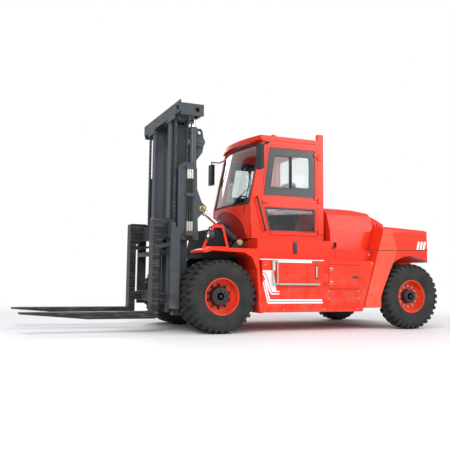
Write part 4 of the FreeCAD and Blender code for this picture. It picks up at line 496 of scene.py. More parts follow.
def turned(builder, profile, centre, axis="y", steps=48, finish=0, side=1):
    """A closed profile of (radius, distance along the axis), turned round that axis."""
    part = bmesh.new()
    middle = at(*centre)
    rings = []
    for radius, along in profile:
        ring = []
        for i in range(steps if radius > 1e-6 else 1):
            a = 2 * math.pi * i / steps
            u, v, w = radius * math.cos(a), radius * math.sin(a), along * side
            ring.append(part.verts.new(middle + Vector(
                {"x": (w, u, v), "y": (u, w, v), "z": (u, v, w)}[axis])))
        rings.append(ring)
    for k, first in enumerate(rings):
        second = rings[(k + 1) % len(rings)]
        if len(first) == len(second):
            if len(first) > 1:
                join(part, first, second)
            continue
        pole, ring = sorted((first, second), key=len)
        for i, vert in enumerate(ring):
            part.faces.new((pole[0], ring[i - 1], vert))
    merge(builder, part, finish)


def rounded(outline, radius, steps=5):
    """A closed outline with its corners rounded."""
    path = []
    for i, corner in enumerate(outline):
        corner = Vector(corner)
        before, after = Vector(outline[i - 1]), Vector(outline[(i + 1) % len(outline)])
        reach = min(radius, (before - corner).length * 0.45, (after - corner).length * 0.45)
        start = corner + (before - corner).normalized() * reach
        end = corner + (after - corner).normalized() * reach
        for k in range(steps + 1):
            t = k / steps
            path.append(tuple(start.lerp(corner, t).lerp(corner.lerp(end, t), t)))
    return path


PLANES = {
    "xz": lambda u, v, t: (u, t, v),
    "yz": lambda u, v, t: (t, u, v),
    "xy": lambda u, v, t: (u, v, t),
}


def plain_mesh(holder):
    """What an object looks like after its modifiers or curve settings, as a mesh."""
    return bpy.data.meshes.new_from_object(
        holder.evaluated_get(bpy.context.evaluated_depsgraph_get()))


def flat(builder, outlines, low, high, plane="xz", finish=0):
    """A plate between two distances; its first outline is the edge, later ones are holes."""
    curve = bpy.data.curves.new("shape", "CURVE")
    curve.dimensions, curve.fill_mode, curve.extrude = "2D", "BOTH", abs(high - low) / 2
    for outline in outlines:
        spline = curve.splines.new("POLY")
        spline.points.add(len(outline) - 1)
        spline.use_cyclic_u = True
        for point, (u, v) in zip(spline.points, outline):
            point.co = (u, v, 0, 1)
    holder = bpy.data.objects.new("shape", curve)
    scene.collection.objects.link(holder)
    scrap = plain_mesh(holder)
    part = bmesh.new()
    part.from_mesh(scrap)
    for vert in part.verts:
        u, v, t = vert.co
        vert.co = at(*PLANES[plane](u, v, (low + high) / 2 + t))
    bmesh.ops.remove_doubles(part, verts=part.verts, dist=1e-5)
    bpy.data.objects.remove(holder)
    bpy.data.curves.remove(curve)
    bpy.data.meshes.remove(scrap)
    merge(builder, part, finish)


def finished(name, builder, body, *finishes, sharp=32):
    """Makes a piece of a mesh under construction, fixes it to a moving body and prints it."""
    mesh = bpy.data.meshes.new(name)
    builder.to_mesh(mesh)
    builder.free()
    for finish in finishes:
        mesh.materials.append(finish)
    mesh.set_sharp_from_angle(angle=math.radians(sharp))
    made = bpy.data.objects.new(name, mesh)
    scene.collection.objects.link(made)
    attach(made, body)
    print(name, "rides on", body, "with", len(mesh.polygons), "faces")
    return made


# %% [markdown]
# ## Repeating one shape
# Lugs, wheel nuts, chain links and grille bars repeat at an even step along a line or round an
# axis. One node tree does all of them: points carry an index, each index sets a shift and a turn,
# and the source shape is placed there. The result is read back as a plain mesh.

# %% A node tree that repeats a shape
def build_repeat_tree():
    """Count copies of a source, each shifted and turned by its number, as real faces."""
    tree = bpy.data.node_groups.new("repeat", "GeometryNodeTree")
    tree.interface.new_socket("Geometry", in_out="OUTPUT", socket_type="NodeSocketGeometry")
    for label, kind in (("Count", "Int"), ("Step", "Vector"), ("Turn", "Vector"),
                        ("Source", "Object"), ("Finish", "Material")):
        tree.interface.new_socket(label, in_out="INPUT", socket_type="NodeSocket" + kind)
    given = tree.nodes.new("NodeGroupInput")
    result = tree.nodes.new("NodeGroupOutput")
    points = tree.nodes.new("GeometryNodePoints")
    number = tree.nodes.new("GeometryNodeInputIndex")
    source = tree.nodes.new("GeometryNodeObjectInfo")
    placed = tree.nodes.new("GeometryNodeInstanceOnPoints")
    real = tree.nodes.new("GeometryNodeRealizeInstances")
    coated = tree.nodes.new("GeometryNodeSetMaterial")
    shift, spin = (node_in(tree, "ShaderNodeVectorMath", {"operation": "SCALE"}) for _ in range(2))
    wire(tree,
         (given.outputs["Count"], points.inputs["Count"]),
         (given.outputs["Step"], shift.inputs[0]),
         (number.outputs[0], shift.inputs["Scale"]),
         (given.outputs["Turn"], spin.inputs[0]),
         (number.outputs[0], spin.inputs["Scale"]),
         (shift.outputs["Vector"], points.inputs["Position"]),
         (given.outputs["Source"], source.inputs["Object"]),
         (points.outputs[0], placed.inputs["Points"]),
         (source.outputs["Geometry"], placed.inputs["Instance"]),
         (spin.outputs["Vector"], placed.inputs["Rotation"]),
         (placed.outputs[0], real.inputs[0]),
         (real.outputs[0], coated.inputs["Geometry"]),
         (given.outputs["Finish"], coated.inputs["Material"]),
         (coated.outputs[0], result.inputs[0]))
    return tree


repeat_tree = build_repeat_tree()
SOCKETS = {item.name: item.identifier for item in repeat_tree.interface.items_tree
           if item.in_out == "INPUT"}


def repeated(source, count, step=(0, 0, 0), turn=(0, 0, 0), finish=None):
    """A plain mesh of many copies of a source mesh."""
    seed = bpy.data.meshes.new("seed")
    source.to_mesh(seed)
    source.free()
    holder = bpy.data.objects.new("seed", seed)
    host = bpy.data.objects.new("host", bpy.data.meshes.new("host"))
    for thing in (holder, host):
        scene.collection.objects.link(thing)
    change = host.modifiers.new("repeat", "NODES")
    change.node_group = repeat_tree
    for label, value in (("Count", count), ("Step", step), ("Turn", turn),
                         ("Source", holder), ("Finish", finish)):
        change[SOCKETS[label]] = value
    mesh = plain_mesh(host)
    for thing in (holder, host):
        bpy.data.objects.remove(thing)
    return mesh


def lay(builder, mesh, centre, side=1, finish=0):
    """Puts a repeated mesh at a place, turned half round for the right-hand side."""
    part = bmesh.new()
    part.from_mesh(mesh)
    turn = Matrix.Rotation(0 if side > 0 else math.pi, 3, "Z")
    for vert in part.verts:
        vert.co = turn @ vert.co + at(*centre)
    merge(builder, part, finish)


print("tree inputs", sorted(SOCKETS))

# %% [markdown]
# ## Tyres
# Industrial traction tyres have a round-shouldered casing, a ridge near the rim, and heavy slanted
# lugs that run from each shoulder past the middle. The casing is turned on a lathe. The lugs come
# from one pair, repeated round the axle; a bump map couldn't give the toothed outline that shows
# against the ground.

# %% Casing, lugs and the six tyres
HALF_CASING = [(0.264, 0.108), (0.300, 0.118), (0.306, 0.126), (0.318, 0.1285),
               (0.326, 0.1335), (0.336, 0.1335), (0.341, 0.1300), (0.372, 0.1365),
               (0.408, 0.1378), (0.413, 0.1388), (0.421, 0.1388), (0.426, 0.1368),
               (0.452, 0.1330), (0.472, 0.1240), (0.487, 0.1080), (0.495, 0.0800),
               (0.499, 0.0400)]
CASING = HALF_CASING + [(r, -y) for r, y in reversed(HALF_CASING)]
LUGS = 32
LUG_PITCH = 2 * math.pi / LUGS
STATIONS = (
    # across, foot radius, top radius, shift round the tyre, half width
    (0.1386, 0.448, 0.458, -0.004, 0.020),
    (0.1384, 0.450, 0.478, -0.003, 0.022),
    (0.1320, 0.455, 0.498, 0.000, 0.024),
    (0.1180, 0.465, 0.513, 0.004, 0.025),
    (0.0950, 0.480, 0.521, 0.010, 0.026),
    (0.0450, 0.488, 0.522, 0.022, 0.024),
    (-0.0100, 0.490, 0.522, 0.038, 0.021),
    (-0.0160, 0.490, 0.512, 0.040, 0.018),
)


def lug_pair():
    """Two slanted lugs, one from each shoulder, half a pitch apart."""
    pair = bmesh.new()
    for side, start in ((1, 0.0), (-1, LUG_PITCH / 2)):
        part = bmesh.new()
        rings = []
        for across, foot, top, shift, half in STATIONS:
            ring = []
            for radius, spread in ((foot, 1.12), (top - 0.003, 1.0), (top, 0.86), (top, -0.86),
                                   (top - 0.003, -1.0), (foot, -1.12)):
                a = start + (shift + half * spread) / 0.52
                ring.append(part.verts.new(
                    (radius * math.sin(a), across * side, radius * math.cos(a))))
            rings.append(ring)
        skin(part, rings)
        merge(pair, part)
    return pair


tread = repeated(lug_pair(), LUGS, turn=(0, LUG_PITCH, 0), finish=tyre_rubber)
TYRES = (
    # piece, body, the structure's node, places across, place along
    ("tyres_drive_left", "drive_wheel_left", "drive_tyres_left", (1.041, 0.711), 0),
    ("tyres_drive_right", "drive_wheel_right", "drive_tyres_right", (-1.041, -0.711), 0),
    ("tyre_steer_left", "steer_wheel_left", "steer_tyre_left", (1.031,), -WHEELBASE),
    ("tyre_steer_right", "steer_wheel_right", "steer_tyre_right", (-1.031,), -WHEELBASE),
)
for name, body, node, places, x in TYRES:
    rubber_mesh = bmesh.new()
    for y in places:
        turned(rubber_mesh, CASING, (x, y, WHEEL_Z), steps=96)
        lay(rubber_mesh, tread, (x, y, WHEEL_Z), 1 if y > 0 else -1)
    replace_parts(finished(name, rubber_mesh, body, tyre_rubber), node)

# %% [markdown]
# ## Hubs and wheel nuts
# A dished disc carries the hub. The drive hubs are black planetary housings whose nuts sit in the
# shadow of the dish, and the steered hubs wear a ring of bright nuts. A nut is a chamfered hexagon
# with the end of its stud, and the ring is again the repeat tree's work.

# %% Hubs with rings of nuts
def nut(radius, across, height):
    """A hexagon nut with a stud end, standing at a radius from the axle and facing along Y."""
    builder = bmesh.new()
    for sides, reach, low, high in ((6, across / 2, 0.0, height),
                                    (10, across * 0.27, height, height * 1.5)):
        part = bmesh.new()
        angles = [2 * math.pi * i / sides for i in range(sides)]
        skin(part, [[part.verts.new((r * math.cos(a), y, radius + r * math.sin(a))) for a in angles]
                    for r, y in ((reach, low), (reach, high - 0.003), (reach * 0.85, high))])
        merge(builder, part)
    return builder


hub_black = moulded("hub_black", (0.018, 0.018, 0.020), 0.42)
HUBS = (
    # body, side, place along, face of the disc, end and radius of the hub, finish and count of nuts
    ("drive_wheel_left", 1, 0, 0.996, 1.090, 0.136, dark_paint, 10),
    ("drive_wheel_right", -1, 0, 0.996, 1.090, 0.136, dark_paint, 10),
    ("steer_wheel_left", 1, -WHEELBASE, 1.016, 1.106, 0.112, zinc, 12),
    ("steer_wheel_right", -1, -WHEELBASE, 1.016, 1.106, 0.112, zinc, 12),
)
WHEEL_NUT = (0.166, 0.040, 0.026)     # distance from the axle, width and height
CAP_BOLT = (0.088, 0.020, 0.008)
CAP_BOLTS = 8
for body, side, x, face, end, wide, nut_finish, count in HUBS:
    hub_mesh = bmesh.new()
    long = end - face
    turned(hub_mesh, [(0, 0.001), (wide + 0.008, 0.001), (wide + 0.008, 0.012), (wide, 0.018),
                      (wide - 0.004, long - 0.014), (wide - 0.012, long - 0.003),
                      (wide - 0.022, long), (0.056, long), (0.052, long - 0.006),
                      (0.024, long - 0.006), (0.022, long + 0.006), (0, long + 0.006)],
           (x, face * side, WHEEL_Z), steps=48, side=side)
    for seed, copies, out, finish in ((nut(*WHEEL_NUT), count, 0, 1),
                                      (nut(*CAP_BOLT), CAP_BOLTS, long - 0.001, 0)):
        ring = repeated(seed, copies, turn=(0, 2 * math.pi / copies, 0), finish=nut_finish)
        lay(hub_mesh, ring, (x, (face + out) * side, WHEEL_Z), side, finish)
    finished("hub_" + body, hub_mesh, body, hub_black, nut_finish)

# %% [markdown]
# ## White stripes, slashes and a painted highlight
# The stripes are cut foil on flat panels: a long line under the ledge that turns down by the step,
# a flared shape with a thin red line inside it, a double line along the sill, and three slashes on
# the casting. Foil has a real, crisp edge, so each is a plate of its own, a millimetre thick. A
# straight white strip along the ledge's top edge, made the same way, is a painted highlight where
# that edge catches the light.

# %% Foil and a painted highlight on both sides
WHITE_SKIN_THICK = 0.0012
BOX_FACE, CAST_FACE, WAIST_FACE = 1.1052, 1.1202, 0.9602    # just outside those side panels
STRIPES_AND_LEDGE_HIGHLIGHT = (
    # a painted highlight: a white strip along the lit top edge of the ledge
    ((-0.600, 1.058), (-0.600, 1.071), (-1.700, 1.071), (-1.700, 1.058)),
    ((-0.826, 1.010), (-0.826, 1.054), (-1.487, 1.054), (-1.487, 1.022), (-0.860, 1.022),
     (-0.860, 0.905), (-0.826, 0.905)),
    ((-0.655, 0.903), (-0.826, 0.903), (-0.878, 0.602), (-0.933, 0.602), (-0.933, 0.588),
     (-0.812, 0.587), (-0.775, 0.675), (-0.733, 0.802), (-0.700, 0.862), (-0.655, 0.874)),
    ((-0.655, 0.862), (-0.692, 0.848), (-0.717, 0.801), (-0.775, 0.638), (-0.806, 0.569),
     (-0.933, 0.569), (-0.933, 0.551), (-0.796, 0.549), (-0.754, 0.620), (-0.692, 0.783),
     (-0.672, 0.828), (-0.655, 0.841)),
    ((-0.676, 0.761), (-0.701, 0.761), (-0.776, 0.480), (-1.658, 0.480), (-1.666, 0.455),
     (-0.757, 0.455)),
    ((-0.668, 0.745), (-0.752, 0.443), (-1.671, 0.443), (-1.679, 0.418), (-0.738, 0.418),
     (-0.657, 0.720)),
)
SLASHES = tuple(((x, 1.412), (x - 0.040, 1.412), (x - 0.003, 1.280), (x + 0.037, 1.280))
                for x in (-3.499, -3.561, -3.623))


def strip(builder, outline, face, side, thick):
    """A thin skin of an outline on a side panel."""
    flat(builder, [outline], face * side, (face + thick) * side)


for side, tag in ((1, "left"), (-1, "right")):
    stripe_and_highlight_plates = bmesh.new()
    for outlines, face in ((STRIPES_AND_LEDGE_HIGHLIGHT, BOX_FACE), (SLASHES, CAST_FACE)):
        for outline in outlines:
            strip(stripe_and_highlight_plates, outline, face, side, WHITE_SKIN_THICK)
    finished("stripes_" + tag, stripe_and_highlight_plates, "chassis", white_paint)

# %% [markdown]
# ## Seams, latches and screws on the body
# Sheet panels meet in dark gaps, and the eye reads their size from those lines. They are laid as
# thin dark strips beside small hardware: paddle latches, a level gauge, hinge leaves and screws.
# The front band of the casting gets a thin skin of lighter paint, a painted highlight where its
# real face turns towards the light, and the arched recess in the nose under the windshield gets a
# sheet of darker paint, painted shade.

# %% Seams and hardware of the body
seam_dark = rubber("seam_dark", (0.010, 0.006, 0.005), 0.8, 40.0)
# A lighter red: a painted highlight for the casting's front band.
painted_highlight_paint = paint("painted_highlight_paint", (0.90, 0.085, 0.040), 0.36, 0.3)
# A darker red: painted shade for the arched recess in the nose.
shadow_paint = paint("shadow_paint", (0.30, 0.010, 0.004), 0.5, 0.1)


def screw(builder, x, y, z, radius, side, finish=0):
    """A domed screw head facing outward."""
    turned(builder, [(0, -0.001), (radius, -0.001), (radius, 0.002), (radius * 0.7, 0.0045),
                     (radius * 0.35, 0.005), (radius * 0.3, 0.003), (0, 0.003)],
           (x, y, z), steps=10, finish=finish, side=side)


CAST_SEAM, BOX_SEAM = 0.0010, 0.0008      # how far the dark strips stand out
# The casting's front band, which gets the lighter red as a painted highlight.
PAINTED_HIGHLIGHT_BAND = ((-2.842, 1.575), (-2.800, 1.540), (-2.447, 0.420), (-2.462, 0.362), (-2.715, 0.362),
          (-2.728, 0.470), (-2.792, 0.640), (-3.075, 1.240), (-3.060, 1.300), (-2.985, 1.545),
          (-2.940, 1.575))
SCREWS = (
    # along, across, height, radius
    (-2.329, 1.106, 0.605, 0.009), (-2.328, 1.106, 0.490, 0.009), (-1.792, 1.106, 0.605, 0.009),
    (-1.791, 1.106, 0.490, 0.009), (-1.700, 1.1195, 0.330, 0.009), (-1.0, 1.1195, 0.330, 0.009),
    (-2.3, 1.1195, 0.330, 0.009), (-0.700, 1.1055, 0.985, 0.011), (-2.52, 1.1205, 1.17, 0.011),
    (-2.58, 1.1205, 1.03, 0.011),
)
PANEL_BLOCKS = (
    # the paddle latch and the level gauge: along, across, height, edge, finish
    ((-1.309, -1.243), (0.9602, 0.974), (1.164, 1.342), 0.006, 1),
    ((-1.297, -1.255), (0.974, 0.980), (1.225, 1.325), 0.003, 1),
    ((-1.590, -1.548), (1.1052, 1.112), (0.782, 1.000), 0.003, 1),
    ((-1.576, -1.562), (1.1115, 1.1135), (0.805, 0.975), 0.001, 3),
)


def hatch_gap(builder, side):
    """The gap round the hatch, without its front edge on the left, where the hinge is."""
    for low, high in ((0.632, 0.637), (1.003, 1.008)):
        strip(builder, ((-1.782, low), (-1.782, high), (-2.338, high), (-2.338, low)),
              BOX_FACE, side, BOX_SEAM)
    for front in (-2.333,) if side > 0 else (-2.333, -1.782):
        strip(builder, ((front, 0.632), (front - 0.005, 0.632), (front - 0.005, 1.008),
                        (front, 1.008)), BOX_FACE, side, BOX_SEAM)


for side, tag in ((1, "left"), (-1, "right")):
    lines = bmesh.new()
    strip(lines, ((-2.455, 1.236), (-2.452, 1.246), (-3.700, 1.280), (-3.700, 1.270)),
          CAST_FACE, side, CAST_SEAM)
    strip(lines, ((-1.995, 1.1), (-2.001, 1.1), (-2.001, 1.37), (-1.995, 1.37)),
          WAIST_FACE, side, CAST_SEAM)
    hatch_gap(lines, side)
    for xs, ys, zs, edge, finish in PANEL_BLOCKS:
        block(lines, xs, sided(side, *ys), zs, edge, finish)
    for x, y, z, radius in SCREWS:
        screw(lines, x, y * side, z, radius, side, 2)
    finished("body_hardware_" + tag, lines, "chassis", seam_dark, box_plastic, zinc, white_paint)
    # A skin of the lighter red on the front band: a painted highlight.
    highlight_skins = bmesh.new()
    flat(highlight_skins, [PAINTED_HIGHLIGHT_BAND], 1.1201 * side, 1.1207 * side)
    finished("sunlit_skin_" + tag, highlight_skins, "chassis", painted_highlight_paint)

# %% The hatch's latch and hinge leaves
hatch_bits = bmesh.new()
block(hatch_bits, (-2.315, -2.215), (1.1142, 1.1200), (0.800, 0.836), 0.004, 0)
block(hatch_bits, (-2.285, -2.245), (1.1195, 1.1225), (0.808, 0.828), 0.002, 0)
for z in (0.732, 0.932):
    block(hatch_bits, (-1.850, -1.796), (1.1142, 1.1170), (z - 0.020, z + 0.020), 0.002, 1)
    for x in (-1.838, -1.810):
        screw(hatch_bits, x, 1.1168, z, 0.006, 1, 1)
finished("hatch_bits", hatch_bits, "hatch", box_plastic, zinc)

# %% Painted shade in the nose under the windshield
BOW_HALF, BOW_RISE = 0.687, 0.118
NOSE_X = -0.624
RECESS_HALF, RECESS_LOW = 0.640, 1.400


def bow(y):
    """How far the nose and the windshield stand forward of their side edges."""
    curve = (BOW_HALF ** 2 + BOW_RISE ** 2) / (2 * BOW_RISE)
    return BOW_RISE - (curve - math.sqrt(curve ** 2 - min(abs(y), BOW_HALF) ** 2))


def recess_top(y):
    """Height of the arched recess in the nose, which lets the mast's cylinders swing."""
    return RECESS_LOW + 0.455 * math.sqrt(max(0.0, 1 - (y / 0.645) ** 2))


# A thin sheet of the darker red below the arch stands in for the recess as painted shade, with a
# body-coloured lip along its top.
nose = bmesh.new()
columns = []
STEPS = 48
for i in range(STEPS + 1):
    y = RECESS_HALF * (2 * i / STEPS - 1)
    columns.append([[nose.verts.new(at(NOSE_X + bow(y) + out, y, z))
                     for z in (RECESS_LOW - 0.004, recess_top(y))] for out in (0.0006, 0.0030)])
for first, second in zip(columns, columns[1:]):
    (a, b), (c, d) = first
    (e, f), (g, h) = second
    for face in ((c, d, h, g), (a, e, f, b), (b, f, h, d), (a, c, g, e)):
        nose.faces.new(face)
for (a, b), (c, d) in (columns[0], columns[-1]):
    nose.faces.new((a, b, d, c))
bmesh.ops.recalc_face_normals(nose, faces=nose.faces)
rim_path = [(NOSE_X + bow(y) + 0.002, y, recess_top(y))
            for y in (RECESS_HALF * (i / 20 - 1) for i in range(41))]
tube(nose, rim_path, 0.008, 8, 1)
finished("nose_recess", nose, "chassis", shadow_paint, body_paint)

# %% [markdown]
# ## The cab's glass edges
# The side windows sit in dark printed borders, and a sliding pair shows as two bright openings.
# The windshield is bonded with a black rubber edge that follows its bow. A border is a plate with
# holes just outside the glass, and the edge is a tube along the curve.

# %% Window borders, gaskets and wipers
glass_edge = moulded("glass_edge", (0.050, 0.053, 0.058), 0.35)
BAND = ((-0.842, 2.060), (-0.944, 2.838), (-1.774, 2.838), (-1.774, 2.060))
PANES = (
    ((-0.962, 2.200), (-1.038, 2.700), (-1.300, 2.700), (-1.300, 2.200)),
    ((-1.345, 2.215), (-1.345, 2.715), (-1.660, 2.715), (-1.660, 2.215)),
)
LOW = ((-0.946, 1.512), (-0.852, 1.888), (-1.772, 1.888), (-1.772, 1.512))
LOW_PANE = ((-0.972, 1.538), (-0.892, 1.862), (-1.742, 1.862), (-1.742, 1.538))
OUTER_CORNER, INNER_CORNER = 0.05, 0.035
GLASS_FACE, BORDER_FACE = 0.7384, 0.7420
for side, body, tag in ((1, "door", "door"), (-1, "chassis", "right")):
    edges = bmesh.new()
    for outer, panes in ((BAND, PANES), (LOW, (LOW_PANE,))):
        border = rounded(outer, OUTER_CORNER)
        holes = [rounded(pane, INNER_CORNER) for pane in panes]
        flat(edges, [border] + holes, GLASS_FACE * side, BORDER_FACE * side)
        tube(edges, [(x, 0.7440 * side, z) for x, z in border], 0.007, 8, 1, closed=True)
        for hole in holes:
            tube(edges, [(x, 0.7410 * side, z) for x, z in hole], 0.0045, 6, 1, closed=True)
    block(edges, (-1.335, -1.308), sided(side, 0.7415, 0.7465), (2.195, 2.72), 0.002, 1)
    block(edges, (-1.316, -1.304), sided(side, 0.7460, 0.7530), (2.36, 2.44), 0.002, 1)
    finished("window_edges_" + tag, edges, body, glass_edge, trim_rubber)

# %% The windshield's edge and two wipers
EDGE_HALF, EDGE_SIDE, EDGE_LOW, EDGE_TOP = 0.665, 0.672, 1.935, 2.874
SIDE_HEIGHTS = (2.0, 2.3, 2.6, 2.82)
WIPER_FOOT_Z = 1.95
WIPERS = (
    # foot across, blade across, height of the blade's middle
    (-0.56, -0.58, 2.72),
    (0.30, 0.60, 2.16),
)
shield = bmesh.new()


def on_shield(y, z, out):
    """A point in front of the windshield's outer face."""
    return (-0.632 + bow(y) - 0.199 * (z - 1.920) / 0.968 + out, y, z)


across = [EDGE_HALF * (i / 12 - 1) for i in range(25)]
edge_path = [on_shield(y, EDGE_LOW, 0.004) for y in across]
edge_path += [on_shield(EDGE_SIDE, z, 0.004) for z in SIDE_HEIGHTS]
edge_path += [on_shield(-y, EDGE_TOP, 0.004) for y in across]
edge_path += [on_shield(-EDGE_SIDE, z, 0.004) for z in reversed(SIDE_HEIGHTS)]
tube(shield, edge_path, 0.013, 8, 0, closed=True)
for y_foot, y_top, z_top in WIPERS:
    foot = on_shield(y_foot, WIPER_FOOT_Z, 0.016)
    half = on_shield((y_foot + y_top) / 2, (WIPER_FOOT_Z + z_top) / 2, 0.024)
    tube(shield, [foot, half, on_shield(y_top, z_top, 0.018)], 0.006, 8, 1)
    blade = []
    for d in (-0.36, -0.2, 0.0, 0.10):
        x, y, z = on_shield(y_top, z_top + d, 0.010)
        blade.append((x, y + 0.02 * d, z))
    tube(shield, blade, 0.007, 8, 0)
    turned(shield, [(0, -0.012), (0.020, -0.012), (0.020, 0.010), (0.012, 0.016), (0, 0.016)],
           (foot[0] - 0.004, y_foot, WIPER_FOOT_Z), "x", 14, 1)
finished("windshield_edge", shield, "chassis", trim_rubber, box_plastic)

# %% The door's handle and hinge screws
handle = bmesh.new()
block(handle, (-0.918, -0.812), (0.7505, 0.7595), (1.934, 1.972), 0.004, 0)
block(handle, (-0.912, -0.820), (0.7580, 0.7755), (1.944, 1.962), 0.006, 0)
turned(handle, [(0, 0), (0.010, 0), (0.010, 0.006), (0, 0.008)],
       (-0.895, 0.7595, 1.953), "y", 14, 1)
for z in (1.566, 2.066, 2.766):
    for dz in (-0.014, 0.014):
        screw(handle, -1.792, 0.7505, z + dz - 0.026, 0.006, 1, 1)
finished("door_handle", handle, "door", box_plastic, zinc)

# %% [markdown]
# ## Lamps, beacon and mirrors
# Each headlamp is a black bowl with a bright reflector and a domed glass face. The beacon has a
# black foot under an amber dome with a rotor inside, and the tail lamps are red and amber blocks
# behind the casting's edge. Reflectors need depth to look alive, so they are turned as real cups.

# %% Lamps in place of the plain ones
LAMP_PLACE = (0.090, 1.022, 1.402)        # the back of the left headlamp
BEACON_PLACE = (-1.180, 0.430, 3.010)
BOWL = [(0, 0.000), (0.030, 0.001), (0.052, 0.012), (0.068, 0.040), (0.075, 0.075),
        (0.075, 0.096), (0.070, 0.099), (0.067, 0.094), (0.066, 0.076), (0.058, 0.044),
        (0.040, 0.020), (0, 0.014)]
REFLECTOR = [(0, 0.0155), (0.039, 0.022), (0.056, 0.046), (0.064, 0.076), (0.062, 0.076),
             (0.054, 0.048), (0.037, 0.025), (0, 0.019)]
BULB = [(0, 0.020), (0.008, 0.020), (0.008, 0.045), (0.004, 0.050), (0, 0.050)]
LAMP_LENS = [(0, 0.090), (0.067, 0.088), (0.067, 0.094), (0.045, 0.0975), (0, 0.0995)]
BEACON_FOOT = [(0, 0), (0.062, 0), (0.062, 0.016), (0.056, 0.022), (0, 0.022)]
DOME = [(0, 0.0225), (0.052, 0.0225), (0.054, 0.040), (0.051, 0.078), (0.040, 0.098),
        (0.020, 0.1045), (0, 0.105)]
ROTOR = [(0, 0.0235), (0.012, 0.0235), (0.012, 0.040), (0.030, 0.048), (0.030, 0.072), (0, 0.072)]
TAIL_LENSES = ((0.4840, 0.5420, 3), (0.5450, 0.5800, 4), (0.5830, 0.6160, 2))
TAIL_RIBS = (1.312, 1.330, 1.348, 1.366, 1.382)

lamp_mesh = bmesh.new()
for side in (1, -1):
    back = (LAMP_PLACE[0], LAMP_PLACE[1] * side, LAMP_PLACE[2])
    for profile, steps, finish in ((BOWL, 32, 0), (REFLECTOR, 32, 1), (BULB, 14, 2),
                                   (LAMP_LENS, 32, 2)):
        turned(lamp_mesh, profile, back, "x", steps, finish)
    block(lamp_mesh, (0.105, 0.145), sided(side, 0.946, 0.960), (1.392, 1.417), 0.003, 0)
    block(lamp_mesh, (0.112, 0.138), sided(side, 0.950, 1.000), (1.396, 1.413), 0.004, 0)
    block(lamp_mesh, (-3.949, -3.934), sided(side, 0.4810, 0.6190), (1.291, 1.399), 0.003, 0)
    for inner, outer, finish in TAIL_LENSES:
        low, high = sided(side, inner, outer)
        block(lamp_mesh, (-3.9480, -3.9250), (low, high), (1.2950, 1.3950), 0.004, finish)
        for z in TAIL_RIBS:
            block(lamp_mesh, (-3.9490, -3.9470), (low + 0.003, high - 0.003),
                  (z - 0.002, z + 0.002), 0.0, finish)
for profile, steps, finish in ((BEACON_FOOT, 32, 0), (DOME, 32, 4), (ROTOR, 16, 1)):
    turned(lamp_mesh, profile, BEACON_PLACE, "z", steps, finish)
lamp_piece = finished("lamp_glasses", lamp_mesh, "chassis",
                      box_plastic, chrome, lens_glass, red_lens, amber_lens)
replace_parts(lamp_piece, "lamps")

# %% Mirror glass and its lip
MIRROR_Y, MIRROR_Z = (0.912, 1.038), (2.442, 2.788)
LIP = 0.008
mirror_mesh = bmesh.new()


def mirror_outline(side, grow):
    """The mirror's rounded outline, grown by a rim's width."""
    (inner, outer), (low, high) = MIRROR_Y, MIRROR_Z
    return rounded((((inner - grow) * side, low - grow), ((outer + grow) * side, low - grow),
                    ((outer + grow) * side, high + grow), ((inner - grow) * side, high + grow)),
                   0.02)


for side in (1, -1):
    glass = mirror_outline(side, 0)
    flat(mirror_mesh, [glass], -0.7012, -0.6995, "yz", 0)
    flat(mirror_mesh, [mirror_outline(side, LIP), glass], -0.7014, -0.6990, "yz", 1)
finished("mirror_glass", mirror_mesh, "chassis", chrome, trim_rubber)

# %% [markdown]
# ## Leaf chains
# The carriage hangs in leaf chains: stacks of figure-eight plates on thick pins, which bend over
# the sheaves in one direction only. One unit is two pitches long, five plates wide and four
# between, and the repeat tree lays the units in a row. The front strand runs from the carriage up
# to the sheave and grows shorter as the carriage rises. The rear strand is anchored on the outer
# mast and grows longer, so a second one slides inside it with the inner mast.

# %% Four strands and two sliding ones
PITCH = 0.0381
PLATES = 9
CHAIN_LOW = 1.480
CHAIN_Y = 0.655           # also the middle of the lift cylinders


def chain_unit(wide, deep):
    """Two pitches of leaf chain, its pins along Y, standing on its first pin."""
    unit = bmesh.new()
    thick, waist, pin = wide / (PLATES + 0.6), deep * 0.34, deep * 0.24
    for k in range(PLATES):
        y = (k - PLATES // 2) * wide / PLATES
        shift = 0 if k % 2 == 0 else PITCH
        part = bmesh.new()
        arc = [(deep / 2 * math.cos(a), deep / 2 * math.sin(a))
               for a in (math.pi * i / 4 for i in range(5))]
        path = [(u, PITCH + v) for u, v in arc] + [(-waist, PITCH / 2)]
        path += [(-u, -v) for u, v in arc] + [(waist, PITCH / 2)]
        skin(part, [[part.verts.new((u, y + s * thick / 2, v + shift)) for u, v in path]
                    for s in (1, -1)])
        merge(unit, part)
    for z in (0.0, PITCH):
        part = bmesh.new()
        angles = [2 * math.pi * i / 8 for i in range(8)]
        skin(part, [[part.verts.new((pin * math.cos(a), s * wide / 2, z + pin * math.sin(a)))
                     for a in angles] for s in (1, -1)])
        merge(unit, part)
    return unit


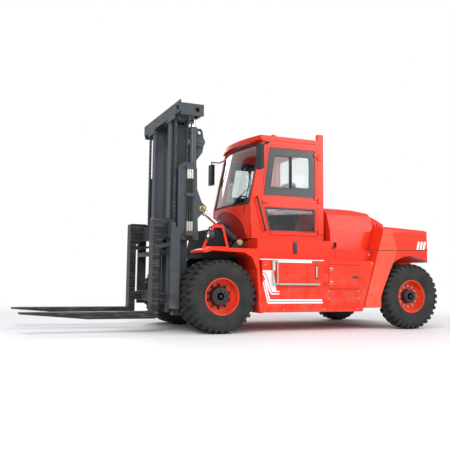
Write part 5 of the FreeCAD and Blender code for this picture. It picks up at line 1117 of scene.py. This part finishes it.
CHAINS = (
    # piece, body, place along, width, depth, from, units
    ("chain_front", "fork_carriage", 0.577, 0.080, 0.0255, CHAIN_LOW, 22),
    ("chain_rear", "outer_mast", 0.3984, 0.080, 0.0255, CHAIN_LOW + 0.015, 22),
    ("chain_rear_rising", "inner_mast", 0.3984, 0.076, 0.0235, CHAIN_LOW + 0.020, 22),
)
for name, body, x, wide, deep, low, units in CHAINS:
    strand = repeated(chain_unit(wide, deep), units, step=(0, 0, 2 * PITCH), finish=chain_steel)
    chain_mesh = bmesh.new()
    for side in (1, -1):
        lay(chain_mesh, strand, (x, CHAIN_Y * side, low + 0.013))
        if body != "inner_mast":
            block(chain_mesh, (x - 0.012, x + 0.012), sided(side, 0.616, 0.694),
                  (low - 0.020, low + 0.004), 0.004)
    chain = finished(name, chain_mesh, body, chain_steel)
    if body == "fork_carriage":
        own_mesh(chain)
        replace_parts(chain, "chains_front")
    if body == "outer_mast":
        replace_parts(chain, "chains_rear")

# %% [markdown]
# ## Rods, hoses and bolts of the mast
# The lift rods are hard-chromed and slide out of the barrels with the inner mast. Three rubber
# hoses run down the side plate between clamps, with bright swaged ends. Bolts, pin caps and
# grease nipples are small, but they give the large grey plates their scale.

# %% Lift rods and the crosshead's bolts
LIFT_X = 0.300            # the lift cylinders, along
ROD_RADIUS, ROD_LOW, ROD_TOP = 0.0363, 1.440, 3.228
SHEAVE = (0.4877, 3.188)
HEAD_FACE, HEAD_END = 0.612, 0.940
FACE_BOLTS = ((0.752, 3.222), (0.752, 3.308), (0.898, 3.222), (0.898, 3.308),
              (0.30, 3.225), (0.30, 3.325), (0.12, 3.275))
END_BOLTS = ((0.270, 3.170), (0.270, 3.272), (0.540, 3.170), (0.540, 3.272))


def bolt(builder, place, radius, axis="y", finish=0, side=1, high=0.007, slope=0.003):
    """A hexagon bolt head on a face."""
    turned(builder, [(0, -0.001), (radius, -0.001), (radius, high), (radius - slope, high + 0.002),
                     (0, high + 0.002)], place, axis, 6, finish, side)


rods = bmesh.new()
for side in (1, -1):
    turned(rods, [(0, ROD_LOW), (ROD_RADIUS, ROD_LOW), (ROD_RADIUS, ROD_TOP), (0, ROD_TOP)],
           (LIFT_X, CHAIN_Y * side, 0), "z", 48, 0)
    for y, way in ((0.600, -side), (0.710, side)):
        turned(rods, [(0, -0.002), (0.030, -0.002), (0.030, 0.006), (0.022, 0.009), (0, 0.009)],
               (SHEAVE[0], y * side, SHEAVE[1]), "y", 16, 1, way)
    for y, z in FACE_BOLTS:
        bolt(rods, (HEAD_FACE, y * side, z), 0.013, "x", 1)
    for x, z in END_BOLTS:
        bolt(rods, (x, HEAD_END * side, z), 0.012, "y", 1, side)
    turned(rods, [(0.0345, -0.001), (0.046, -0.001), (0.046, 0.004), (0.0345, 0.004)],
           (0.340, HEAD_END * side, 3.230), "y", 24, 1, side)
finished("lift_rods", rods, "inner_mast", chrome, mast_paint)

# %% Hoses, pins and bolts on the side plates
HOSES_X, HOSE_Y = (0.342, 0.376, 0.410), 0.769
PLATE_FACE = 0.745
TILT_PIN = [(0, -0.001), (0.045, -0.001), (0.045, 0.004), (0.038, 0.008), (0.012, 0.008),
            (0.010, 0.014), (0, 0.014)]
brass = plated("brass", (0.55, 0.40, 0.16), 0.3, (10, 10, 10))
outer = bmesh.new()
for x in HOSES_X:
    tube(outer, [(x, HOSE_Y, 1.425), (x, HOSE_Y, 2.395)], 0.0138, 14, 0)
    for low, high in ((1.455, 1.600), (2.230, 2.375)):
        turned(outer, [(0.0130, low), (0.0168, low + 0.003), (0.0168, high - 0.003),
                       (0.0130, high)], (x, HOSE_Y, 0), "z", 16, 1)
    tube(outer, [(x, HOSE_Y, 1.425), (x - 0.004, HOSE_Y, 1.372),
                 (x - 0.03, HOSE_Y - 0.005, 1.330)], 0.0125, 12, 0)
for side in (1, -1):
    for z in (1.42, 1.68, 1.94, 2.20, 2.40):
        bolt(outer, (0.504, PLATE_FACE * side, z), 0.013, "y", 3, side)
    turned(outer, [(0.0375, 3.0205), (0.060, 3.0205), (0.060, 3.030), (0.052, 3.035),
                   (0.0375, 3.035)], (LIFT_X, CHAIN_Y * side, 0), "z", 32, 3)
    turned(outer, TILT_PIN, (0.165, PLATE_FACE * side, 1.800), "y", 24, 2, side)
    turned(outer, [(0, -0.001), (0.034, -0.001), (0.034, 0.006), (0.026, 0.010), (0, 0.010)],
           (0.170, 0.626 * side, 2.830), "y", 20, 3, side)
    for z in (2.42, 2.52, 2.96):
        bolt(outer, (0.290, 0.578 * side, z), 0.012, "y", 3, side)
finished("mast_hoses", outer, "outer_mast", trim_rubber, zinc, brass, mast_paint)

# %% Bolts of the carriage, clear of the forks
front = bmesh.new()
for side in (1, -1):
    for y in (0.05, 0.10):
        for z in (1.395, 1.530, 0.440, 0.520):
            bolt(front, (0.695, y * side, z), 0.015, "x", high=0.008, slope=0.004)
    for z in (0.45, 0.62, 0.90, 1.18, 1.40):
        bolt(front, (0.640, 0.890 * side, z), 0.013, "y", 0, side)
finished("carriage_bolts", front, "fork_carriage", carriage_paint)

# %% Hoses on the front deck
DECK_HOSES_Y = (-0.27, -0.16, 0.10, 0.19, 0.28)
DECK_PIN = [(0, -0.001), (0.046, -0.001), (0.046, 0.003), (0.040, 0.008), (0.013, 0.008),
            (0.011, 0.015), (0, 0.015)]
deck = bmesh.new()
for k, y in enumerate(DECK_HOSES_Y):
    rise = 0.05 + 0.012 * (k % 3)
    tube(deck, [(-0.34, y, 1.535), (-0.36, y, 1.56 + rise), (-0.42, y * 1.03, 1.575 + rise),
                (-0.48, y * 1.06, 1.54 + rise), (-0.52, y * 1.10, 1.46), (-0.545, y * 1.12, 1.34),
                (-0.55, y * 1.12, 1.215)], 0.0135, 10, 0)
    turned(deck, [(0, -0.004), (0.020, -0.004), (0.020, 0.024), (0.015, 0.030), (0, 0.030)],
           (-0.34, y, 1.515), "z", 6, 1)
for side in (1, -1):
    turned(deck, DECK_PIN, (-0.455, 0.735 * side, 1.320), "y", 24, 2, side)
finished("deck_hoses", deck, "chassis", trim_rubber, zinc, brass)

# %% [markdown]
# ## The driver's seat
# A seat cushion is foam under cloth: full in the middle, pulled in along its seams, and soft at
# the corners. A cloth simulation would give chance folds that a firm vehicle seat doesn't have, so
# the form is drawn: a rounded block is divided finely and swelled, with sewn channels pressed in.

# %% Two padded cushions
def fabric(name, colour):
    """Woven seat cloth with a slight pill."""
    material, tree, shader = new_finish(name, Roughness=0.92, Specular_IOR_Level=0.2,
                                        Sheen_Weight=0.25)
    warp, weft = (node_in(tree, "ShaderNodeTexWave", {"bands_direction": way},
                          Scale=140.0, Distortion=0.4) for way in "YX")
    for wave in (warp, weft):
        tree.links.new(position(tree), wave.inputs["Vector"])
    weave = times(tree, warp.outputs["Fac"], weft.outputs["Fac"])
    feed(tree, shader, Base_Color=mixed(tree, weave, shade(colour, 0.7), shade(colour, 1.3)))
    relief(tree, shader, weave, 0.001, 0.5)
    return material


seat_cloth = fabric("seat_cloth", (0.030, 0.031, 0.036))
CUSHIONS = (
    # thin axis, x range, y range, z range, channels along
    (2, (-1.742, -1.258), (-0.237, 0.237), (1.742, 1.838), 0),
    (0, (-1.748, -1.637), (-0.222, 0.222), (1.8415, 2.398), 2),
)
CHANNELS, BORDER_AT, SEAM_WIDE = (-0.5, 0.0, 0.5), 0.84, 0.035    # shares of a half side
SQUARENESS = 7            # 2 would be a ball, and large numbers a sharp box
pads = bmesh.new()
for thin, xs, ys, zs, along in CUSHIONS:
    part = bmesh.new()
    bmesh.ops.create_cube(part, size=2.0)
    bmesh.ops.subdivide_edges(part, edges=part.edges[:], cuts=23, use_grid_fill=True)
    low, high = at(xs[0], ys[0], zs[0]), at(xs[1], ys[1], zs[1])
    middle, half = (low + high) / 2, (high - low) / 2
    for vert in part.verts:
        u = [max(-1.0, min(1.0, c)) for c in vert.co]
        length = sum(abs(c) ** SQUARENESS for c in u) ** (1 / SQUARENESS)
        u = [c / length for c in u]
        wide_axes = [i for i in range(3) if i != thin]
        crown = (1 - u[wide_axes[0]] ** 4) * (1 - u[wide_axes[1]] ** 4)
        seam = sum(math.exp(-((u[along] - s) / SEAM_WIDE) ** 2) for s in CHANNELS)
        border = sum(math.exp(-((abs(u[i]) - BORDER_AT) / SEAM_WIDE) ** 2) for i in wide_axes)
        u[thin] *= 0.84 + 0.16 * crown - 0.07 * min(1.0, seam) - 0.06 * min(1.0, border)
        vert.co = middle + Vector([u[i] * half[i] for i in range(3)])
    merge(pads, part)
seat = finished("seat_pads", pads, "chassis", seat_cloth, sharp=80)
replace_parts(seat, "seat_cushion")

# %% [markdown]
# ## Hood, casting and steps
# The hood's tail is slatted so that the radiator can breathe, rubber latches hold its sides, and
# the casting carries a tow pin with its handle. The step has a raised grip, because a flat tread
# would be slippery with mud.

# %% Louvres and latches of the hood
LOUVRES, LOUVRE_STEP = 5, 0.034
TAIL_X, TAIL_TOP = -2.800, 1.874          # where the hood's sloping tail begins
TAIL_DROP, TAIL_LONG = 1.874 - 1.800, 0.230
hood_bits = bmesh.new()
for k in range(LOUVRES):
    x = -2.845 - LOUVRE_STEP * k
    z = TAIL_TOP - TAIL_DROP * (TAIL_X - x) / TAIL_LONG
    block(hood_bits, (x - 0.009, x + 0.009), (-0.42, 0.42), (z - 0.004, z + 0.0035), 0.002, 0)
for side in (1, -1):
    block(hood_bits, (-2.085, -2.045), sided(side, 0.850, 0.872), (1.285, 1.365), 0.005, 0)
finished("hood_bits", hood_bits, "hood", seam_dark)

# %% Tow pin and the steps' grip
TOW_X = -3.915
rear = bmesh.new()
turned(rear, [(0, 0.60), (0.022, 0.60), (0.022, 0.735), (0.034, 0.738), (0.034, 0.752),
              (0, 0.752)], (TOW_X, 0, 0), "z", 20, 0)
tube(rear, [(TOW_X, -0.035, 0.750), (TOW_X, -0.035, 0.790), (TOW_X, 0.035, 0.790),
            (TOW_X, 0.035, 0.750)], 0.006, 8, 0)
finished("rear_fittings", rear, "chassis", zinc)

GRIP_BAR, GRIP_BARS, GRIP_STEP = (0.010, 0.034, 0.004), 27, 0.025
grip_seed = bmesh.new()
part = bmesh.new()
bmesh.ops.create_cube(part, size=1.0)
for vert in part.verts:
    vert.co = Vector([c * size for c, size in zip(vert.co, GRIP_BAR)])
merge(grip_seed, part)
grip = repeated(grip_seed, GRIP_BARS, step=(-GRIP_STEP, 0, 0), finish=zinc)
grips = bmesh.new()
for side in (1, -1):
    lay(grips, grip, (-0.925, 1.129 * side, 0.7170))
finished("step_grip", grips, "chassis", zinc)
added = [o for o in scene.objects if o.type == "MESH" and o.name not in NODES]
print("triangles added", sum(len(p.vertices) - 2 for o in added for p in o.data.polygons))
